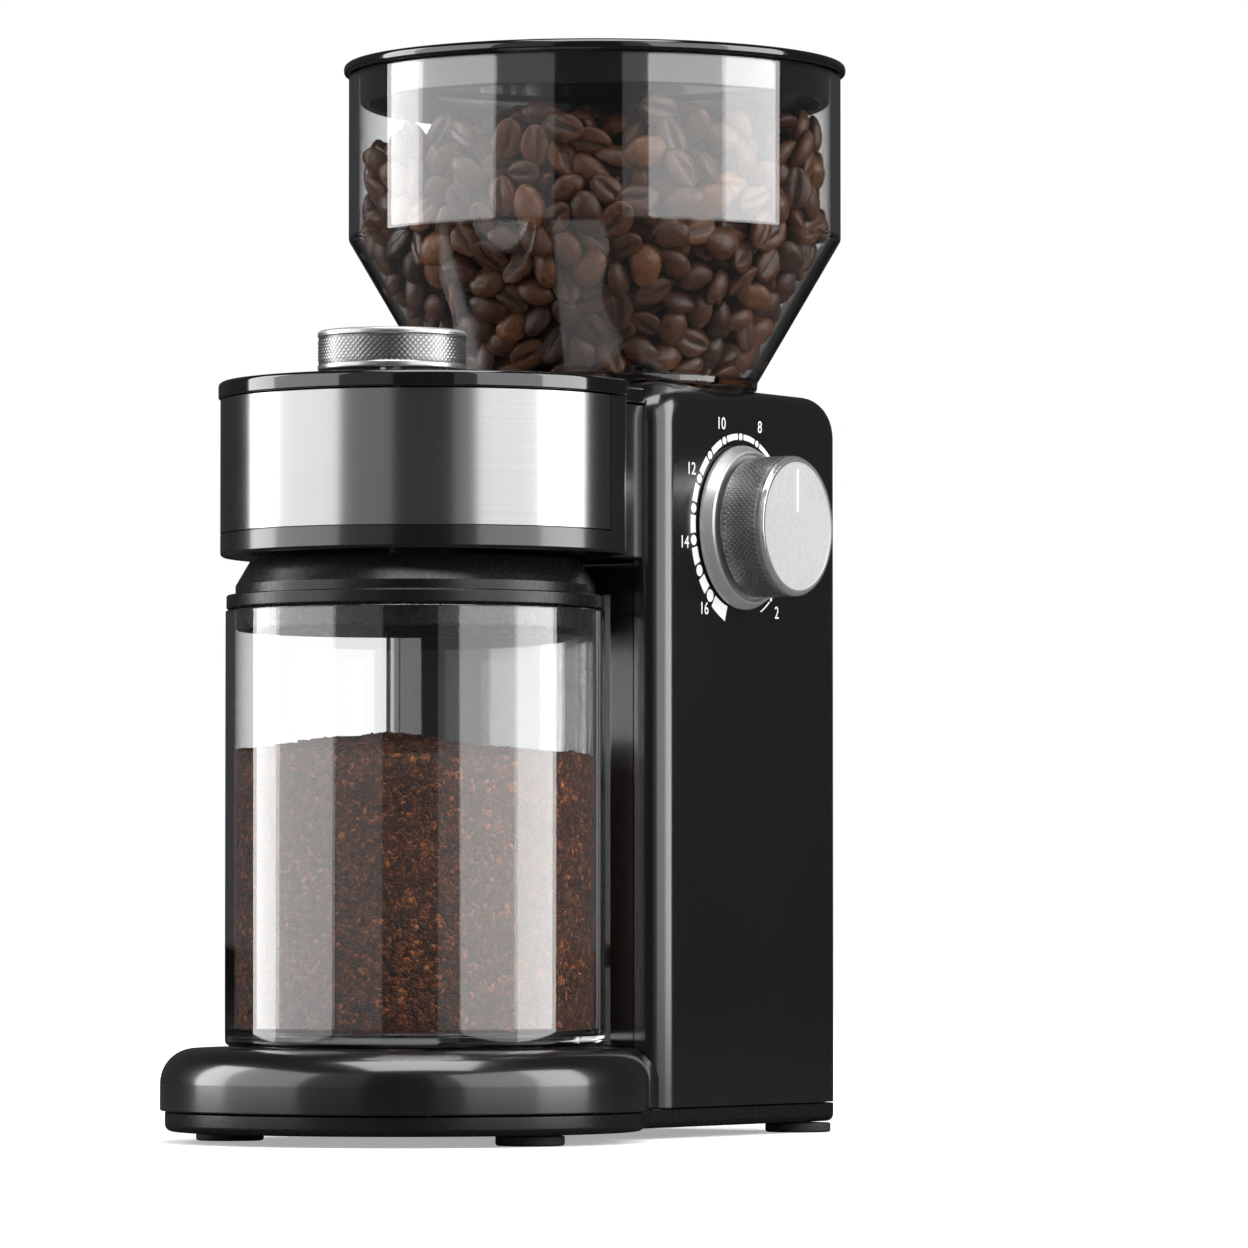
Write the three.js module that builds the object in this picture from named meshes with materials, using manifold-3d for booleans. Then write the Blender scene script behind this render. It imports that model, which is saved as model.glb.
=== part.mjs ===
// Burr coffee grinder with a bean hopper, a grounds container and a side grind dial.
//
// Millimetres, +Z up. The design frame has the hopper's axis at X = 0, Y = 0 and the ground at
// Z = 0. The container faces -Y and the grind dial faces +X. The whole group is shifted along Y
// at the end, so that the origin is under the middle of the outside box.

import * as THREE from 'three';
import { mergeVertices } from 'three/addons/utils/BufferGeometryUtils.js';
import Module from 'manifold-3d';

const wasm = await Module();
wasm.setup();

// ---------------------------------------------------------------- driving dimensions

const GAP = 0.3; // between pieces that rest on or in each other
const SPIN_GAP = 0.5; // between a turning piece and what it turns in
const WALL = 2.5; // moulded housing walls

const FOOT_R = 8.3;
const FOOT_HEIGHT = 2.4;
const FOOT_STEM_R = 2.8;
const FOOT_FRONT_X = 43.6;
const FOOT_FRONT_AHEAD = 11.8; // of the lobe's centre
const FOOT_REAR = [34, 43];

const TRAY_BOTTOM = FOOT_HEIGHT + GAP;
const TRAY_THICK = 4.7;
const TRAY_FLOOR = 2.5;
const TRAY_INSET = 1.2;
const TRAY_REAR_LIP = 2;
const TRAY_SCREW_FRONT_X = 30;
const TRAY_SCREW_AHEAD = 36; // of the lobe's centre
const TRAY_SCREW_REAR = [26, 28];
const SCREW_HEAD_R = 3;
const SCREW_HEAD_THICK = 1.6;
const SCREW_R = 1.5;
const SCREW_BOSS_R = 4.6;

const LOBE_MARGIN = 13.3; // of the base's lobe round the container
const LOBE_AHEAD = 4.16; // the lobe's centre is this far in front of the container's
const BASE_TOP = 22.8;
const BASE_ROUNDING = 6;
const LOBE_END_DEG = 28; // where the lobe's arc gives way to the sweep towards the column

const COLUMN_HALF_WIDTH = 42.2;
const COLUMN_FRONT = -37;
const COLUMN_REAR = 52;
const COLUMN_OVER_CAP = 2.1;
const COLUMN_CORNER_R = 8;
const PANEL_THICK = 2.4;
const PANEL_BEVEL = 1;

const CONTAINER_R = 46.2;
const CONTAINER_HEIGHT = 105.9;
const CONTAINER_WALL = 2.2;
const CONTAINER_FLOOR = 2.6;
const LID_SKIRT_DEPTH = 5.3;
const LID_FLANGE_INSET = 0.2; // from the container's radius, as are the next two
const LID_FLANGE_THICK = 3.4;
const LID_RING_INSET = 2.4;
const LID_RING_THICK = 2.3;
const LID_CONE_INSET = 6.1;
const LID_CONE_HEIGHT = 6.3;
const LID_WALL = 2;
const LID_HOLE_R = 15;
const RECESS_CLEARANCE = 6.8; // from the container to the hollow in the column's front
const RECESS_HEADROOM = 1.3; // over the container lid's flange
const RECESS_BACK_Y = -28.84;

const HEAD_MARGIN = 4.7; // of the head's drum round the container
const HEAD_BEHIND = 5.84; // the drum's centre is this far behind the container's
const HEAD_FLANK = 8; // straight flank behind the widest place
const HEAD_NECK_HALF = 37;
const HEAD_LID_GAP = 1;
const HEAD_RING_HEIGHT = 5.6;
const BAND_HEIGHT = 32.7;
const BAND_THICK = 0.8;
const BAND_PAST_CENTRE = 2.4;
const CAP_THICK = 4;
const CAP_PROUD = 0.5;

const HOPPER_R = 62.25;
const HOPPER_HEIGHT = 83; // over the column, lid included
const HOPPER_WALL = 2.5;
const HOPPER_SHOULDER_RISE = 38.5; // from the column to where the cone meets the upright wall
const HOPPER_BASE_R = 41;
const HOPPER_BASE_THICK = 2.2;
const SPIGOT_R = 29.2;
const SPIGOT_WALL = 2.7;
const SPIGOT_LENGTH = 8.3;
const COLLAR_WALL = 3.2;
const COLLAR_LIP = 0.8;
const HOPPER_LID_REACH = 1.25; // past the hopper's wall
const HOPPER_LID_THICK = 2.7;
const HOPPER_LID_SKIRT_WALL = 2.4;
const HOPPER_LID_SKIRT_DEPTH = 8;
const HOPPER_LID_DISH = 0.8;

const BURR_AXIS_Y = 1.5;
const BURR_HOUSING_DROP = 2.5; // from the hopper's collar to the top of the burr chamber
const BEZEL_R = 20.5;
const BEZEL_THICK = 3.7;
const DIAL_R = 17.6;
const DIAL_CHAMFER = 0.8;
const DIAL_PROTRUSION = 16.8; // from the side panel to the face of the dial
const DIAL_FACE_WALL = 2.4;
const DIAL_HUB_WALL = 2.6;
const DIAL_STEM_R = 5;

const SHAFT_R = 4;
const BEARING_R = 9;
const BEARING_WIDTH = 5;
const AUGER_BORE_R = 12.5;
const AUGER_HELIX_R = 7.2;
const AUGER_WIRE_R = 3;
const AUGER_PITCH = 11;
const AUGER_CORE_R = 6.5;
const INNER_BURR_SMALL_R = 8.5;
const INNER_BURR_LARGE_R = 15;
const OUTER_BURR_IN_R = 13.5;
const BURR_GRIND_GAP = 1.2;
const OUTER_BURR_R = 19;
const BURR_LENGTH = 14;
const CARRIER_WALL = 2;
const CARRIER_TRAVEL = 0.7;
const CHAMBER_CLEARANCE = 0.7;
const HOUSING_WALL = 2.2;
const BURR_START_X = 8;
const HOUSING_OFF_PLATE = 10.5; // from the gear plate to the burr housing
const HOUSING_END_X = 34;
const THROAT_X = [-12.5, 5];
const THROAT_Y = [-11.5, 14.5];
const IMPELLER_WIDTH = 4;
const IMPELLER_CLEARANCE = 1.5;

const CHUTE_MOUTH_X = 24;
const CHUTE_WIDTH = 16;
const CHUTE_WALL = 2;
const CHUTE_HEIGHT = 16.5;
const SPOUT_R = 10.7;

const GEAR_MODULE = 1.5;
const DRIVEN_TEETH = 30;
const IDLER_TEETH = 24;
const PINION_TEETH = 10;
const GEAR_WIDTH = 6;
const GEAR_BACKLASH = 0.15; // extra centre distance, on each pair
const IDLER_LEAN_DEG = 20; // from straight under the burr shaft, towards the rear
const PINION_LEAN_DEG = 25; // from straight under the idler, towards the front
const IDLER_PIN_R = 3;
const GEAR_PLATE_OFFSET = 13; // from the column's side
const GEAR_PLATE_THICK = 3;

const MOTOR_R = 24;
const MOTOR_WALL = 1.6;
const MOTOR_LENGTH = 50.5;
const MOTOR_END_THICK = 2.5;
const MOTOR_SHAFT_R = 2.5;
const ROTOR_R = 16.5;
const ROTOR_LENGTH = 32;
const MAGNET_THICK = 4;
const MAGNET_HALF_DEG = 60;
const FAN_R = 18;
const FAN_HUB_R = 5.5;
const FAN_WIDTH = 5;
const FAN_BLADES = 6;

const SELECTOR_AHEAD = 10.26; // of the container's centre
const SELECTOR_R = 18.1;
const SELECTOR_HEIGHT = 9.7;
const SELECTOR_SHAFT_R = 3;
const START_TRAVEL = 1.5;
const BOARD_DROP = 15.1; // under the head's top
const BOARD_THICK = 1.6;
const BOARD_HALF_WIDTH = 26;
const BOARD_AHEAD = 15.9; // of the selector's axis
const BOARD_BEHIND = 20.1;
const BOARD_POST_X = 21;
const BOARD_POST_AHEAD = 7.9;
const ENCODER_SIZE = 13;
const ENCODER_HEIGHT = 5;
const SWITCH_SIZE = 6;
const COLLAR_R = 11;
const COLLAR_THICK = 2;

const INTERLOCK_DROP = 21.35; // under the motor
const INTERLOCK_PIN_R = 3;
const INTERLOCK_PIN_REACH = 4; // behind the wall it passes through
const INTERLOCK_SWITCH = [16, 9, 10];

const VENT_HALF_WIDTH = 24;
const VENT_HALF_HEIGHT = 28;
const VENT_SLOTS = 6;
const VENT_SLOT_HEIGHT = 3;
const GROMMET_R = 6.2;
const GROMMET_FLANGE_R = 8.5;
const GROMMET_BORE_R = 3.6;
const GROMMET_Z = 38;

const ROUND_LARGE = 32; // sides of a large round piece
const ROUND_MEDIUM = 20;
const ROUND_SMALL = 10;
const ROUND_SHAFT = 14;

// ---------------------------------------------------------------- values worked out from them

const TRAY_TOP = TRAY_BOTTOM + TRAY_THICK;
const BASE_BOTTOM = TRAY_TOP + GAP;
const FRAME_HALF_WIDTH = COLUMN_HALF_WIDTH - PANEL_THICK - GAP;
const FRAME_BOTTOM = BASE_TOP + GAP;
const CONTAINER_BOTTOM = BASE_TOP + GAP;
const CONTAINER_TOP = CONTAINER_BOTTOM + CONTAINER_HEIGHT;
const RECESS_R = CONTAINER_R + RECESS_CLEARANCE;
const CONTAINER_Y = RECESS_BACK_Y - RECESS_R;
const BASE_LOBE_R = CONTAINER_R + LOBE_MARGIN;
const BASE_LOBE_Y = CONTAINER_Y - LOBE_AHEAD;
const FOOT_FRONT = [FOOT_FRONT_X, BASE_LOBE_Y - FOOT_FRONT_AHEAD];
const TRAY_SCREW_FRONT = [TRAY_SCREW_FRONT_X, BASE_LOBE_Y - TRAY_SCREW_AHEAD];
const LID_FLANGE_R = CONTAINER_R - LID_FLANGE_INSET;
const LID_RING_R = CONTAINER_R - LID_RING_INSET;
const LID_CONE_R = CONTAINER_R - LID_CONE_INSET;
const LID_SEAT = CONTAINER_TOP + GAP;
const LID_RING_BOTTOM = LID_SEAT + LID_FLANGE_THICK;
const LID_CONE_BOTTOM = LID_RING_BOTTOM + LID_RING_THICK;
const RECESS_TOP = LID_RING_BOTTOM + RECESS_HEADROOM;
const LID_TOP = LID_CONE_BOTTOM + LID_CONE_HEIGHT;
const HEAD_R = CONTAINER_R + HEAD_MARGIN;
const HEAD_Y = CONTAINER_Y + HEAD_BEHIND;
const HEAD_BOTTOM = LID_TOP + HEAD_LID_GAP;
const BAND_BOTTOM = HEAD_BOTTOM + HEAD_RING_HEIGHT;
const HEAD_TOP = BAND_BOTTOM + BAND_HEIGHT;
const CAP_BOTTOM = HEAD_TOP + GAP;
const CAP_TOP = CAP_BOTTOM + CAP_THICK;
const HEAD_BACK = COLUMN_FRONT - GAP;
const COLUMN_TOP = CAP_TOP + COLUMN_OVER_CAP;
const TOTAL_HEIGHT = COLUMN_TOP + HOPPER_HEIGHT;
const HOPPER_SEAT = COLUMN_TOP + GAP;
const HOPPER_SHOULDER = COLUMN_TOP + HOPPER_SHOULDER_RISE;
const HOPPER_LID_R = HOPPER_R + HOPPER_LID_REACH;
const HOPPER_TOP = TOTAL_HEIGHT - HOPPER_LID_THICK - GAP;
const COLLAR_IN_R = SPIGOT_R + GAP;
const COLLAR_OUT_R = COLLAR_IN_R + COLLAR_WALL;
const SPIGOT_BOTTOM = HOPPER_SEAT - SPIGOT_LENGTH;
const COLLAR_BOTTOM = SPIGOT_BOTTOM - 0.5;
const CARRIER_IN_R = OUTER_BURR_R + GAP;
const CARRIER_OUT_R = CARRIER_IN_R + CARRIER_WALL;
const BURR_CHAMBER_R = CARRIER_OUT_R + CHAMBER_CLEARANCE;
const BURR_END_X = BURR_START_X + BURR_LENGTH;
const CHAMBER_START_X = BURR_START_X - 1 - CARRIER_TRAVEL - SPIN_GAP;
const HOUSING_OUT_R = BURR_CHAMBER_R + HOUSING_WALL;
const BURR_AXIS_Z = COLLAR_BOTTOM - HOUSING_OUT_R - BURR_HOUSING_DROP;
const GEAR_PLATE_X = GEAR_PLATE_OFFSET - FRAME_HALF_WIDTH;
const GEAR_START_X = GEAR_PLATE_X - 2 - GEAR_WIDTH;
const HOUSING_START_X = GEAR_PLATE_X + HOUSING_OFF_PLATE;
const IMPELLER_R = CARRIER_IN_R - IMPELLER_CLEARANCE;
const IMPELLER_START_X = BURR_END_X + 1.5;
const CARRIER_DISC_X = IMPELLER_START_X + IMPELLER_WIDTH + 1.5;
const SHAFT_END_X = CARRIER_DISC_X - 1;
const PANEL_FACE_X = COLUMN_HALF_WIDTH;
const DIAL_FACE_X = PANEL_FACE_X + DIAL_PROTRUSION;
const DIAL_FACE_R = DIAL_R - DIAL_CHAMFER;
const DIAL_HUB_R = DIAL_STEM_R + DIAL_HUB_WALL;
const DIAL_BACK_X = PANEL_FACE_X + GAP + BEZEL_THICK + GAP;
const CHUTE_BOTTOM = HEAD_BOTTOM + WALL + GAP;
const CHUTE_MOUTH_Y = BURR_AXIS_Y - HOUSING_OUT_R - 0.8;
const MOTOR_START_X = GEAR_PLATE_X + GEAR_PLATE_THICK + GAP;
const DRIVEN_R = (DRIVEN_TEETH * GEAR_MODULE) / 2;
const IDLER_R = (IDLER_TEETH * GEAR_MODULE) / 2;
const PINION_R = (PINION_TEETH * GEAR_MODULE) / 2;
const SELECTOR_Y = CONTAINER_Y - SELECTOR_AHEAD;
const SELECTOR_TOP = CAP_TOP + START_TRAVEL + SPIN_GAP + SELECTOR_HEIGHT;
const BOARD_BOTTOM = HEAD_TOP - BOARD_DROP;
const BOARD_Y = [SELECTOR_Y - BOARD_AHEAD, SELECTOR_Y + BOARD_BEHIND];
const BOARD_POST = [BOARD_POST_X, SELECTOR_Y - BOARD_POST_AHEAD];
const BOARD_TOP = BOARD_BOTTOM + BOARD_THICK;
const ENCODER_TOP = BOARD_TOP + GAP + ENCODER_HEIGHT;
const COLLAR_Z = ENCODER_TOP + START_TRAVEL + 0.2;
const SHIFT_Y = (BASE_LOBE_R - BASE_LOBE_Y - HOPPER_LID_R) / 2;

const rad = THREE.MathUtils.degToRad;
const IDLER_AT = below([BURR_AXIS_Y, BURR_AXIS_Z], DRIVEN_R + IDLER_R + GEAR_BACKLASH, IDLER_LEAN_DEG);
const MOTOR_AT = below(IDLER_AT, IDLER_R + PINION_R + GEAR_BACKLASH, -PINION_LEAN_DEG);
const INTERLOCK_Z = MOTOR_AT[1] - MOTOR_R - INTERLOCK_DROP;
const VENT_Z = [MOTOR_AT[1] - VENT_HALF_HEIGHT, MOTOR_AT[1] + VENT_HALF_HEIGHT];

function below([y, z], distance, leanDeg) {
  return [y + distance * Math.sin(rad(leanDeg)), z - distance * Math.cos(rad(leanDeg))];
}

// ---------------------------------------------------------------- materials

function finish(color, roughness, metalness = 0) {
  return new THREE.MeshStandardMaterial({ color, roughness, metalness });
}

const blackPlastic = finish(0x0b0b0c, 0.22);
const clearPlastic = finish(0xe9eef0, 0.08);
const brushedSteel = finish(0xc9cbcc, 0.32, 1);
const aluminium = finish(0xcfd0d1, 0.28, 1);
const hardSteel = finish(0x9a9ea2, 0.35, 1);
const zincSteel = finish(0xb4b7b9, 0.4, 1);
const greyPlastic = finish(0x55585b, 0.5);
const whitePlastic = finish(0xe4e2dc, 0.45);
const rubber = finish(0x17181a, 0.85);
const boardGreen = finish(0x1d5b3a, 0.5);
const ironCore = finish(0x6b6e70, 0.5, 1);
const magnetGrey = finish(0x3c3e41, 0.6);

// ---------------------------------------------------------------- helpers

// A closed three.js geometry as a manifold solid: shared vertices welded, slivers dropped.
function solid(geometry) {
  const bare = geometry.clone();
  bare.deleteAttribute('normal');
  bare.deleteAttribute('uv');
  const welded = mergeVertices(bare, 1e-4);
  const triangles = [];
  for (let i = 0; i < welded.index.count; i += 3) {
    const [a, b, c] = [0, 1, 2].map((k) => welded.index.getX(i + k));
    if (a !== b && b !== c && c !== a) triangles.push(a, b, c);
  }
  const mesh = new wasm.Mesh({
    numProp: 3,
    vertProperties: new Float32Array(welded.attributes.position.array),
    triVerts: new Uint32Array(triangles),
  });
  mesh.merge();
  return new wasm.Manifold(mesh);
}

function toMesh(name, shape, material) {
  const { vertProperties, triVerts, numProp } = shape.getMesh();
  const geometry = new THREE.BufferGeometry();
  const positions = new Float32Array((vertProperties.length / numProp) * 3);
  for (let i = 0; i < positions.length / 3; i++) {
    for (let k = 0; k < 3; k++) positions[3 * i + k] = vertProperties[numProp * i + k];
  }
  geometry.setAttribute('position', new THREE.BufferAttribute(positions, 3));
  geometry.setIndex(new THREE.BufferAttribute(new Uint32Array(triVerts), 1));
  geometry.computeVertexNormals();
  const mesh = new THREE.Mesh(geometry, material);
  mesh.name = name;
  return mesh;
}

// A profile of [radius, height] points turned about Z. It starts and ends on the axis or closes.
function turned(profile, sides = ROUND_MEDIUM) {
  const points = profile.map(([r, z]) => new THREE.Vector2(r, z));
  if (THREE.ShapeUtils.area(points) < 0) points.reverse();
  if (profile[0][0] > 0) points.push(points[0].clone());
  return solid(new THREE.LatheGeometry(points, sides).rotateX(Math.PI / 2));
}

function disc(radius, z0, z1, sides = ROUND_MEDIUM) {
  return solid(new THREE.CylinderGeometry(radius, radius, z1 - z0, sides).rotateX(Math.PI / 2))
    .translate([0, 0, (z0 + z1) / 2]);
}

function ring(inner, outer, z0, z1, sides = ROUND_MEDIUM) {
  return turned([[inner, z0], [outer, z0], [outer, z1], [inner, z1]], sides);
}

function box([x0, x1], [y0, y1], [z0, z1]) {
  return solid(new THREE.BoxGeometry(x1 - x0, y1 - y0, z1 - z0))
    .translate([(x0 + x1) / 2, (y0 + y1) / 2, (z0 + z1) / 2]);
}

// A flat outline pulled up from z0 to z1.
function pulled(outline, z0, z1, curveSegments = 6) {
  const geometry = new THREE.ExtrudeGeometry(outline, {
    depth: z1 - z0, bevelEnabled: false, curveSegments,
  });
  return solid(geometry).translate([0, 0, z0]);
}

// The same, with its upper edge rounded over by r. The lower edge stays square.
function pulledRounded(outline, z0, z1, r, curveSegments = 8) {
  const geometry = new THREE.ExtrudeGeometry(outline, {
    depth: z1 - z0, bevelThickness: r, bevelSize: r, bevelOffset: -r, bevelSegments: 2, curveSegments,
  });
  const reach = 400;
  return solid(geometry).translate([0, 0, z0 - r])
    .intersect(box([-reach, reach], [-reach, reach], [z0, z1]));
}

function rectangle([x0, x1], [y0, y1], [r00, r10, r11, r01]) {
  const outline = new THREE.Shape();
  outline.moveTo(x0 + r00, y0);
  outline.lineTo(x1 - r10, y0);
  if (r10) outline.absarc(x1 - r10, y0 + r10, r10, -Math.PI / 2, 0, false);
  outline.lineTo(x1, y1 - r11);
  if (r11) outline.absarc(x1 - r11, y1 - r11, r11, 0, Math.PI / 2, false);
  outline.lineTo(x0 + r01, y1);
  if (r01) outline.absarc(x0 + r01, y1 - r01, r01, Math.PI / 2, Math.PI, false);
  outline.lineTo(x0, y0 + r00);
  if (r00) outline.absarc(x0 + r00, y0 + r00, r00, Math.PI, 1.5 * Math.PI, false);
  return outline;
}

// Pieces on an axis that runs along X: their own Z is the world's +X.
function lineAlongX(y, z, ...meshes) {
  const line = new THREE.Group();
  line.position.set(0, y, z);
  line.rotation.y = Math.PI / 2;
  line.add(...meshes);
  return line;
}

function placed(mesh, x, y, z = 0) {
  mesh.position.set(x, y, z);
  return mesh;
}

// ---------------------------------------------------------------- base

// Plan of the base: a round lobe under the container that sweeps back to the column's width and
// goes on under the column, which is narrower where the side panels cover it.
function basePlan(inset, rearReach, rearHalf = FRAME_HALF_WIDTH) {
  const lobe = BASE_LOBE_R - inset;
  const end = rad(LOBE_END_DEG);
  const [endX, endY] = [lobe * Math.cos(end), BASE_LOBE_Y + lobe * Math.sin(end)];
  const sweep = HEAD_BACK - endY;
  const wide = COLUMN_HALF_WIDTH - inset;
  const narrow = rearHalf - inset;
  const stepY = HEAD_BACK - inset;
  const plan = new THREE.Shape();
  plan.moveTo(-narrow, rearReach);
  plan.lineTo(-narrow, stepY);
  plan.lineTo(-wide, stepY);
  plan.bezierCurveTo(-wide, stepY - 0.4 * sweep, -endX + 0.25 * sweep * Math.sin(end),
    endY + 0.25 * sweep * Math.cos(end), -endX, endY);
  plan.absarc(0, BASE_LOBE_Y, lobe, Math.PI - end, 2 * Math.PI + end, false);
  plan.bezierCurveTo(endX - 0.25 * sweep * Math.sin(end), endY + 0.25 * sweep * Math.cos(end),
    wide, stepY - 0.4 * sweep, wide, stepY);
  plan.lineTo(narrow, stepY);
  plan.lineTo(narrow, rearReach);
  plan.closePath();
  return plan;
}

const TRAY_SCREWS = [TRAY_SCREW_FRONT, TRAY_SCREW_REAR]
  .flatMap(([x, y]) => [['left', -x, y], ['right', x, y]])
  .map(([side, x, y], i) => [`tray_screw_${i < 2 ? 'front' : 'rear'}_${side}`, x, y]);

const FEET = [FOOT_FRONT, FOOT_REAR]
  .flatMap(([x, y]) => [['left', -x, y], ['right', x, y]])
  .map(([side, x, y], i) => [`foot_${i < 2 ? 'front' : 'rear'}_${side}`, x, y]);

function baseShell() {
  const planSteps = 8;
  const outer = pulledRounded(basePlan(0, COLUMN_REAR), BASE_BOTTOM, BASE_TOP, BASE_ROUNDING, planSteps);
  const hollowPlan = basePlan(WALL + 1, COLUMN_REAR - WALL);
  const hollow = pulled(hollowPlan, BASE_BOTTOM - 1, BASE_TOP - WALL - 1, planSteps);
  const boss = disc(SCREW_BOSS_R, BASE_BOTTOM, BASE_TOP - WALL, ROUND_SMALL);
  const bore = disc(SCREW_R + GAP, BASE_BOTTOM - 1, BASE_TOP - WALL - 2, ROUND_SMALL);
  let shell = outer.subtract(hollow);
  for (const [, x, y] of TRAY_SCREWS) {
    shell = shell.add(boss.translate([x, y, 0])).subtract(bore.translate([x, y, 0]));
  }
  return toMesh('base_shell', shell, blackPlastic);
}

function baseTray() {
  const plan = basePlan(TRAY_INSET, COLUMN_REAR + TRAY_REAR_LIP, COLUMN_HALF_WIDTH);
  const pocketPlan = basePlan(TRAY_INSET + WALL, COLUMN_REAR + TRAY_REAR_LIP - WALL, COLUMN_HALF_WIDTH);
  let pocket = pulled(pocketPlan, TRAY_BOTTOM + TRAY_FLOOR, TRAY_TOP + 1);
  for (const [, x, y] of TRAY_SCREWS) {
    const boss = disc(SCREW_BOSS_R, TRAY_BOTTOM, TRAY_TOP + 2, ROUND_SMALL);
    pocket = pocket.subtract(boss.translate([x, y, 0]));
  }
  let tray = pulled(plan, TRAY_BOTTOM, TRAY_TOP).subtract(pocket);
  for (const [, x, y] of TRAY_SCREWS) {
    tray = tray.subtract(disc(SCREW_R + GAP, 0, BASE_BOTTOM, ROUND_SMALL).translate([x, y, 0]));
    tray = tray.subtract(disc(SCREW_HEAD_R + GAP, 0, TRAY_BOTTOM + SCREW_HEAD_THICK + GAP, ROUND_SMALL)
      .translate([x, y, 0]));
  }
  for (const [, x, y] of FEET) {
    tray = tray.subtract(disc(FOOT_STEM_R + GAP, 0, BASE_BOTTOM, ROUND_SMALL).translate([x, y, 0]));
  }
  return toMesh('base_tray', tray, blackPlastic);
}

function foot(name, x, y) {
  const profile = [[0, 0], [FOOT_R - 0.6, 0], [FOOT_R, 0.6], [FOOT_R, FOOT_HEIGHT],
    [FOOT_STEM_R, FOOT_HEIGHT], [FOOT_STEM_R, TRAY_TOP - 1], [0, TRAY_TOP - 1]];
  return placed(toMesh(name, turned(profile, ROUND_SHAFT), rubber), x, y);
}

// A screw with its head at z = 0 and its shank going up.
function screw(name, x, y, z, length, headUp = false) {
  const profile = [[0, 0], [SCREW_HEAD_R, 0], [SCREW_HEAD_R, SCREW_HEAD_THICK],
    [SCREW_R, SCREW_HEAD_THICK], [SCREW_R, length], [0, length]];
  const mesh = placed(toMesh(name, turned(profile, ROUND_SMALL), zincSteel), x, y, z);
  if (headUp) mesh.rotation.x = Math.PI;
  return mesh;
}

function base() {
  const group = new THREE.Group();
  const screwLength = BASE_TOP - WALL - 3 - TRAY_BOTTOM;
  group.add(baseShell(), baseTray());
  for (const [name, x, y] of FEET) group.add(foot(name, x, y));
  for (const [name, x, y] of TRAY_SCREWS) group.add(screw(name, x, y, TRAY_BOTTOM, screwLength));
  return group;
}

// ---------------------------------------------------------------- column

// Side view of the column: its Y is the outline's X and its Z is the outline's Y.
function columnSide(inset, bottom, lowCorner) {
  const r = Math.max(COLUMN_CORNER_R - inset, 1);
  return rectangle([COLUMN_FRONT + inset, COLUMN_REAR - inset], [bottom + inset, COLUMN_TOP - inset],
    [lowCorner, lowCorner, r, r]);
}

// Pulls a side-view outline along X, from x0 to x1.
function pulledAlongX(outline, x0, x1) {
  return pulled(outline, x0, x1, 4).rotate([90, 0, 90]);
}

function containerSpace(clearance, top) {
  return disc(RECESS_R + clearance, 0, top, ROUND_LARGE).translate([0, CONTAINER_Y, 0]);
}

function columnHousing() {
  const half = FRAME_HALF_WIDTH;
  const outer = pulledAlongX(columnSide(0, FRAME_BOTTOM, 0), -half, half)
    .subtract(containerSpace(0, RECESS_TOP));
  const hollow = pulledAlongX(columnSide(WALL, FRAME_BOTTOM, 0), -half - 1, half + 1)
    .subtract(containerSpace(WALL, RECESS_TOP + WALL));
  const headWindow = box([-33, 33], [COLUMN_FRONT - 1, COLUMN_FRONT + WALL + 3],
    [HEAD_BOTTOM + 1, HEAD_TOP - 2]);
  const hopperHole = disc(COLLAR_OUT_R + GAP, COLUMN_TOP - COLUMN_CORNER_R, COLUMN_TOP + 1, ROUND_LARGE);
  const rearWall = [COLUMN_REAR - WALL - 1, COLUMN_REAR + 1];
  const ventWindow = box([-VENT_HALF_WIDTH, VENT_HALF_WIDTH], rearWall, VENT_Z);
  const cordHole = disc(GROMMET_R + GAP, -WALL - 1, 1, ROUND_SHAFT).rotate([-90, 0, 0])
    .translate([0, COLUMN_REAR, GROMMET_Z]);
  const pinHole = disc(INTERLOCK_PIN_R + GAP, -2 * WALL - 1, WALL, ROUND_SMALL).rotate([-90, 0, 0])
    .translate([0, CONTAINER_Y + RECESS_R + WALL, INTERLOCK_Z]);
  const frame = outer.subtract(hollow).subtract(headWindow).subtract(hopperHole)
    .subtract(ventWindow).subtract(cordHole).subtract(pinHole);
  return toMesh('column_housing', frame, blackPlastic);
}

function sidePanel(name, side) {
  const geometry = new THREE.ExtrudeGeometry(columnSide(0, BASE_BOTTOM, 2), {
    depth: PANEL_THICK, bevelThickness: PANEL_BEVEL, bevelSize: PANEL_BEVEL,
    bevelOffset: -PANEL_BEVEL, bevelSegments: 1, curveSegments: 4,
  });
  const reach = 400;
  let panel = solid(geometry).translate([0, 0, -PANEL_BEVEL])
    .intersect(box([-reach, reach], [-reach, reach], [0, PANEL_THICK]))
    .rotate([90, 0, 90]).translate([COLUMN_HALF_WIDTH - PANEL_THICK, 0, 0]);
  if (side > 0) {
    const hole = disc(DIAL_HUB_R + 1, 0, COLUMN_HALF_WIDTH + 1).rotate([0, 90, 0])
      .translate([0, BURR_AXIS_Y, BURR_AXIS_Z]);
    panel = panel.subtract(hole);
  } else {
    panel = panel.mirror([1, 0, 0]);
  }
  return toMesh(name, panel, blackPlastic);
}

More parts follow.
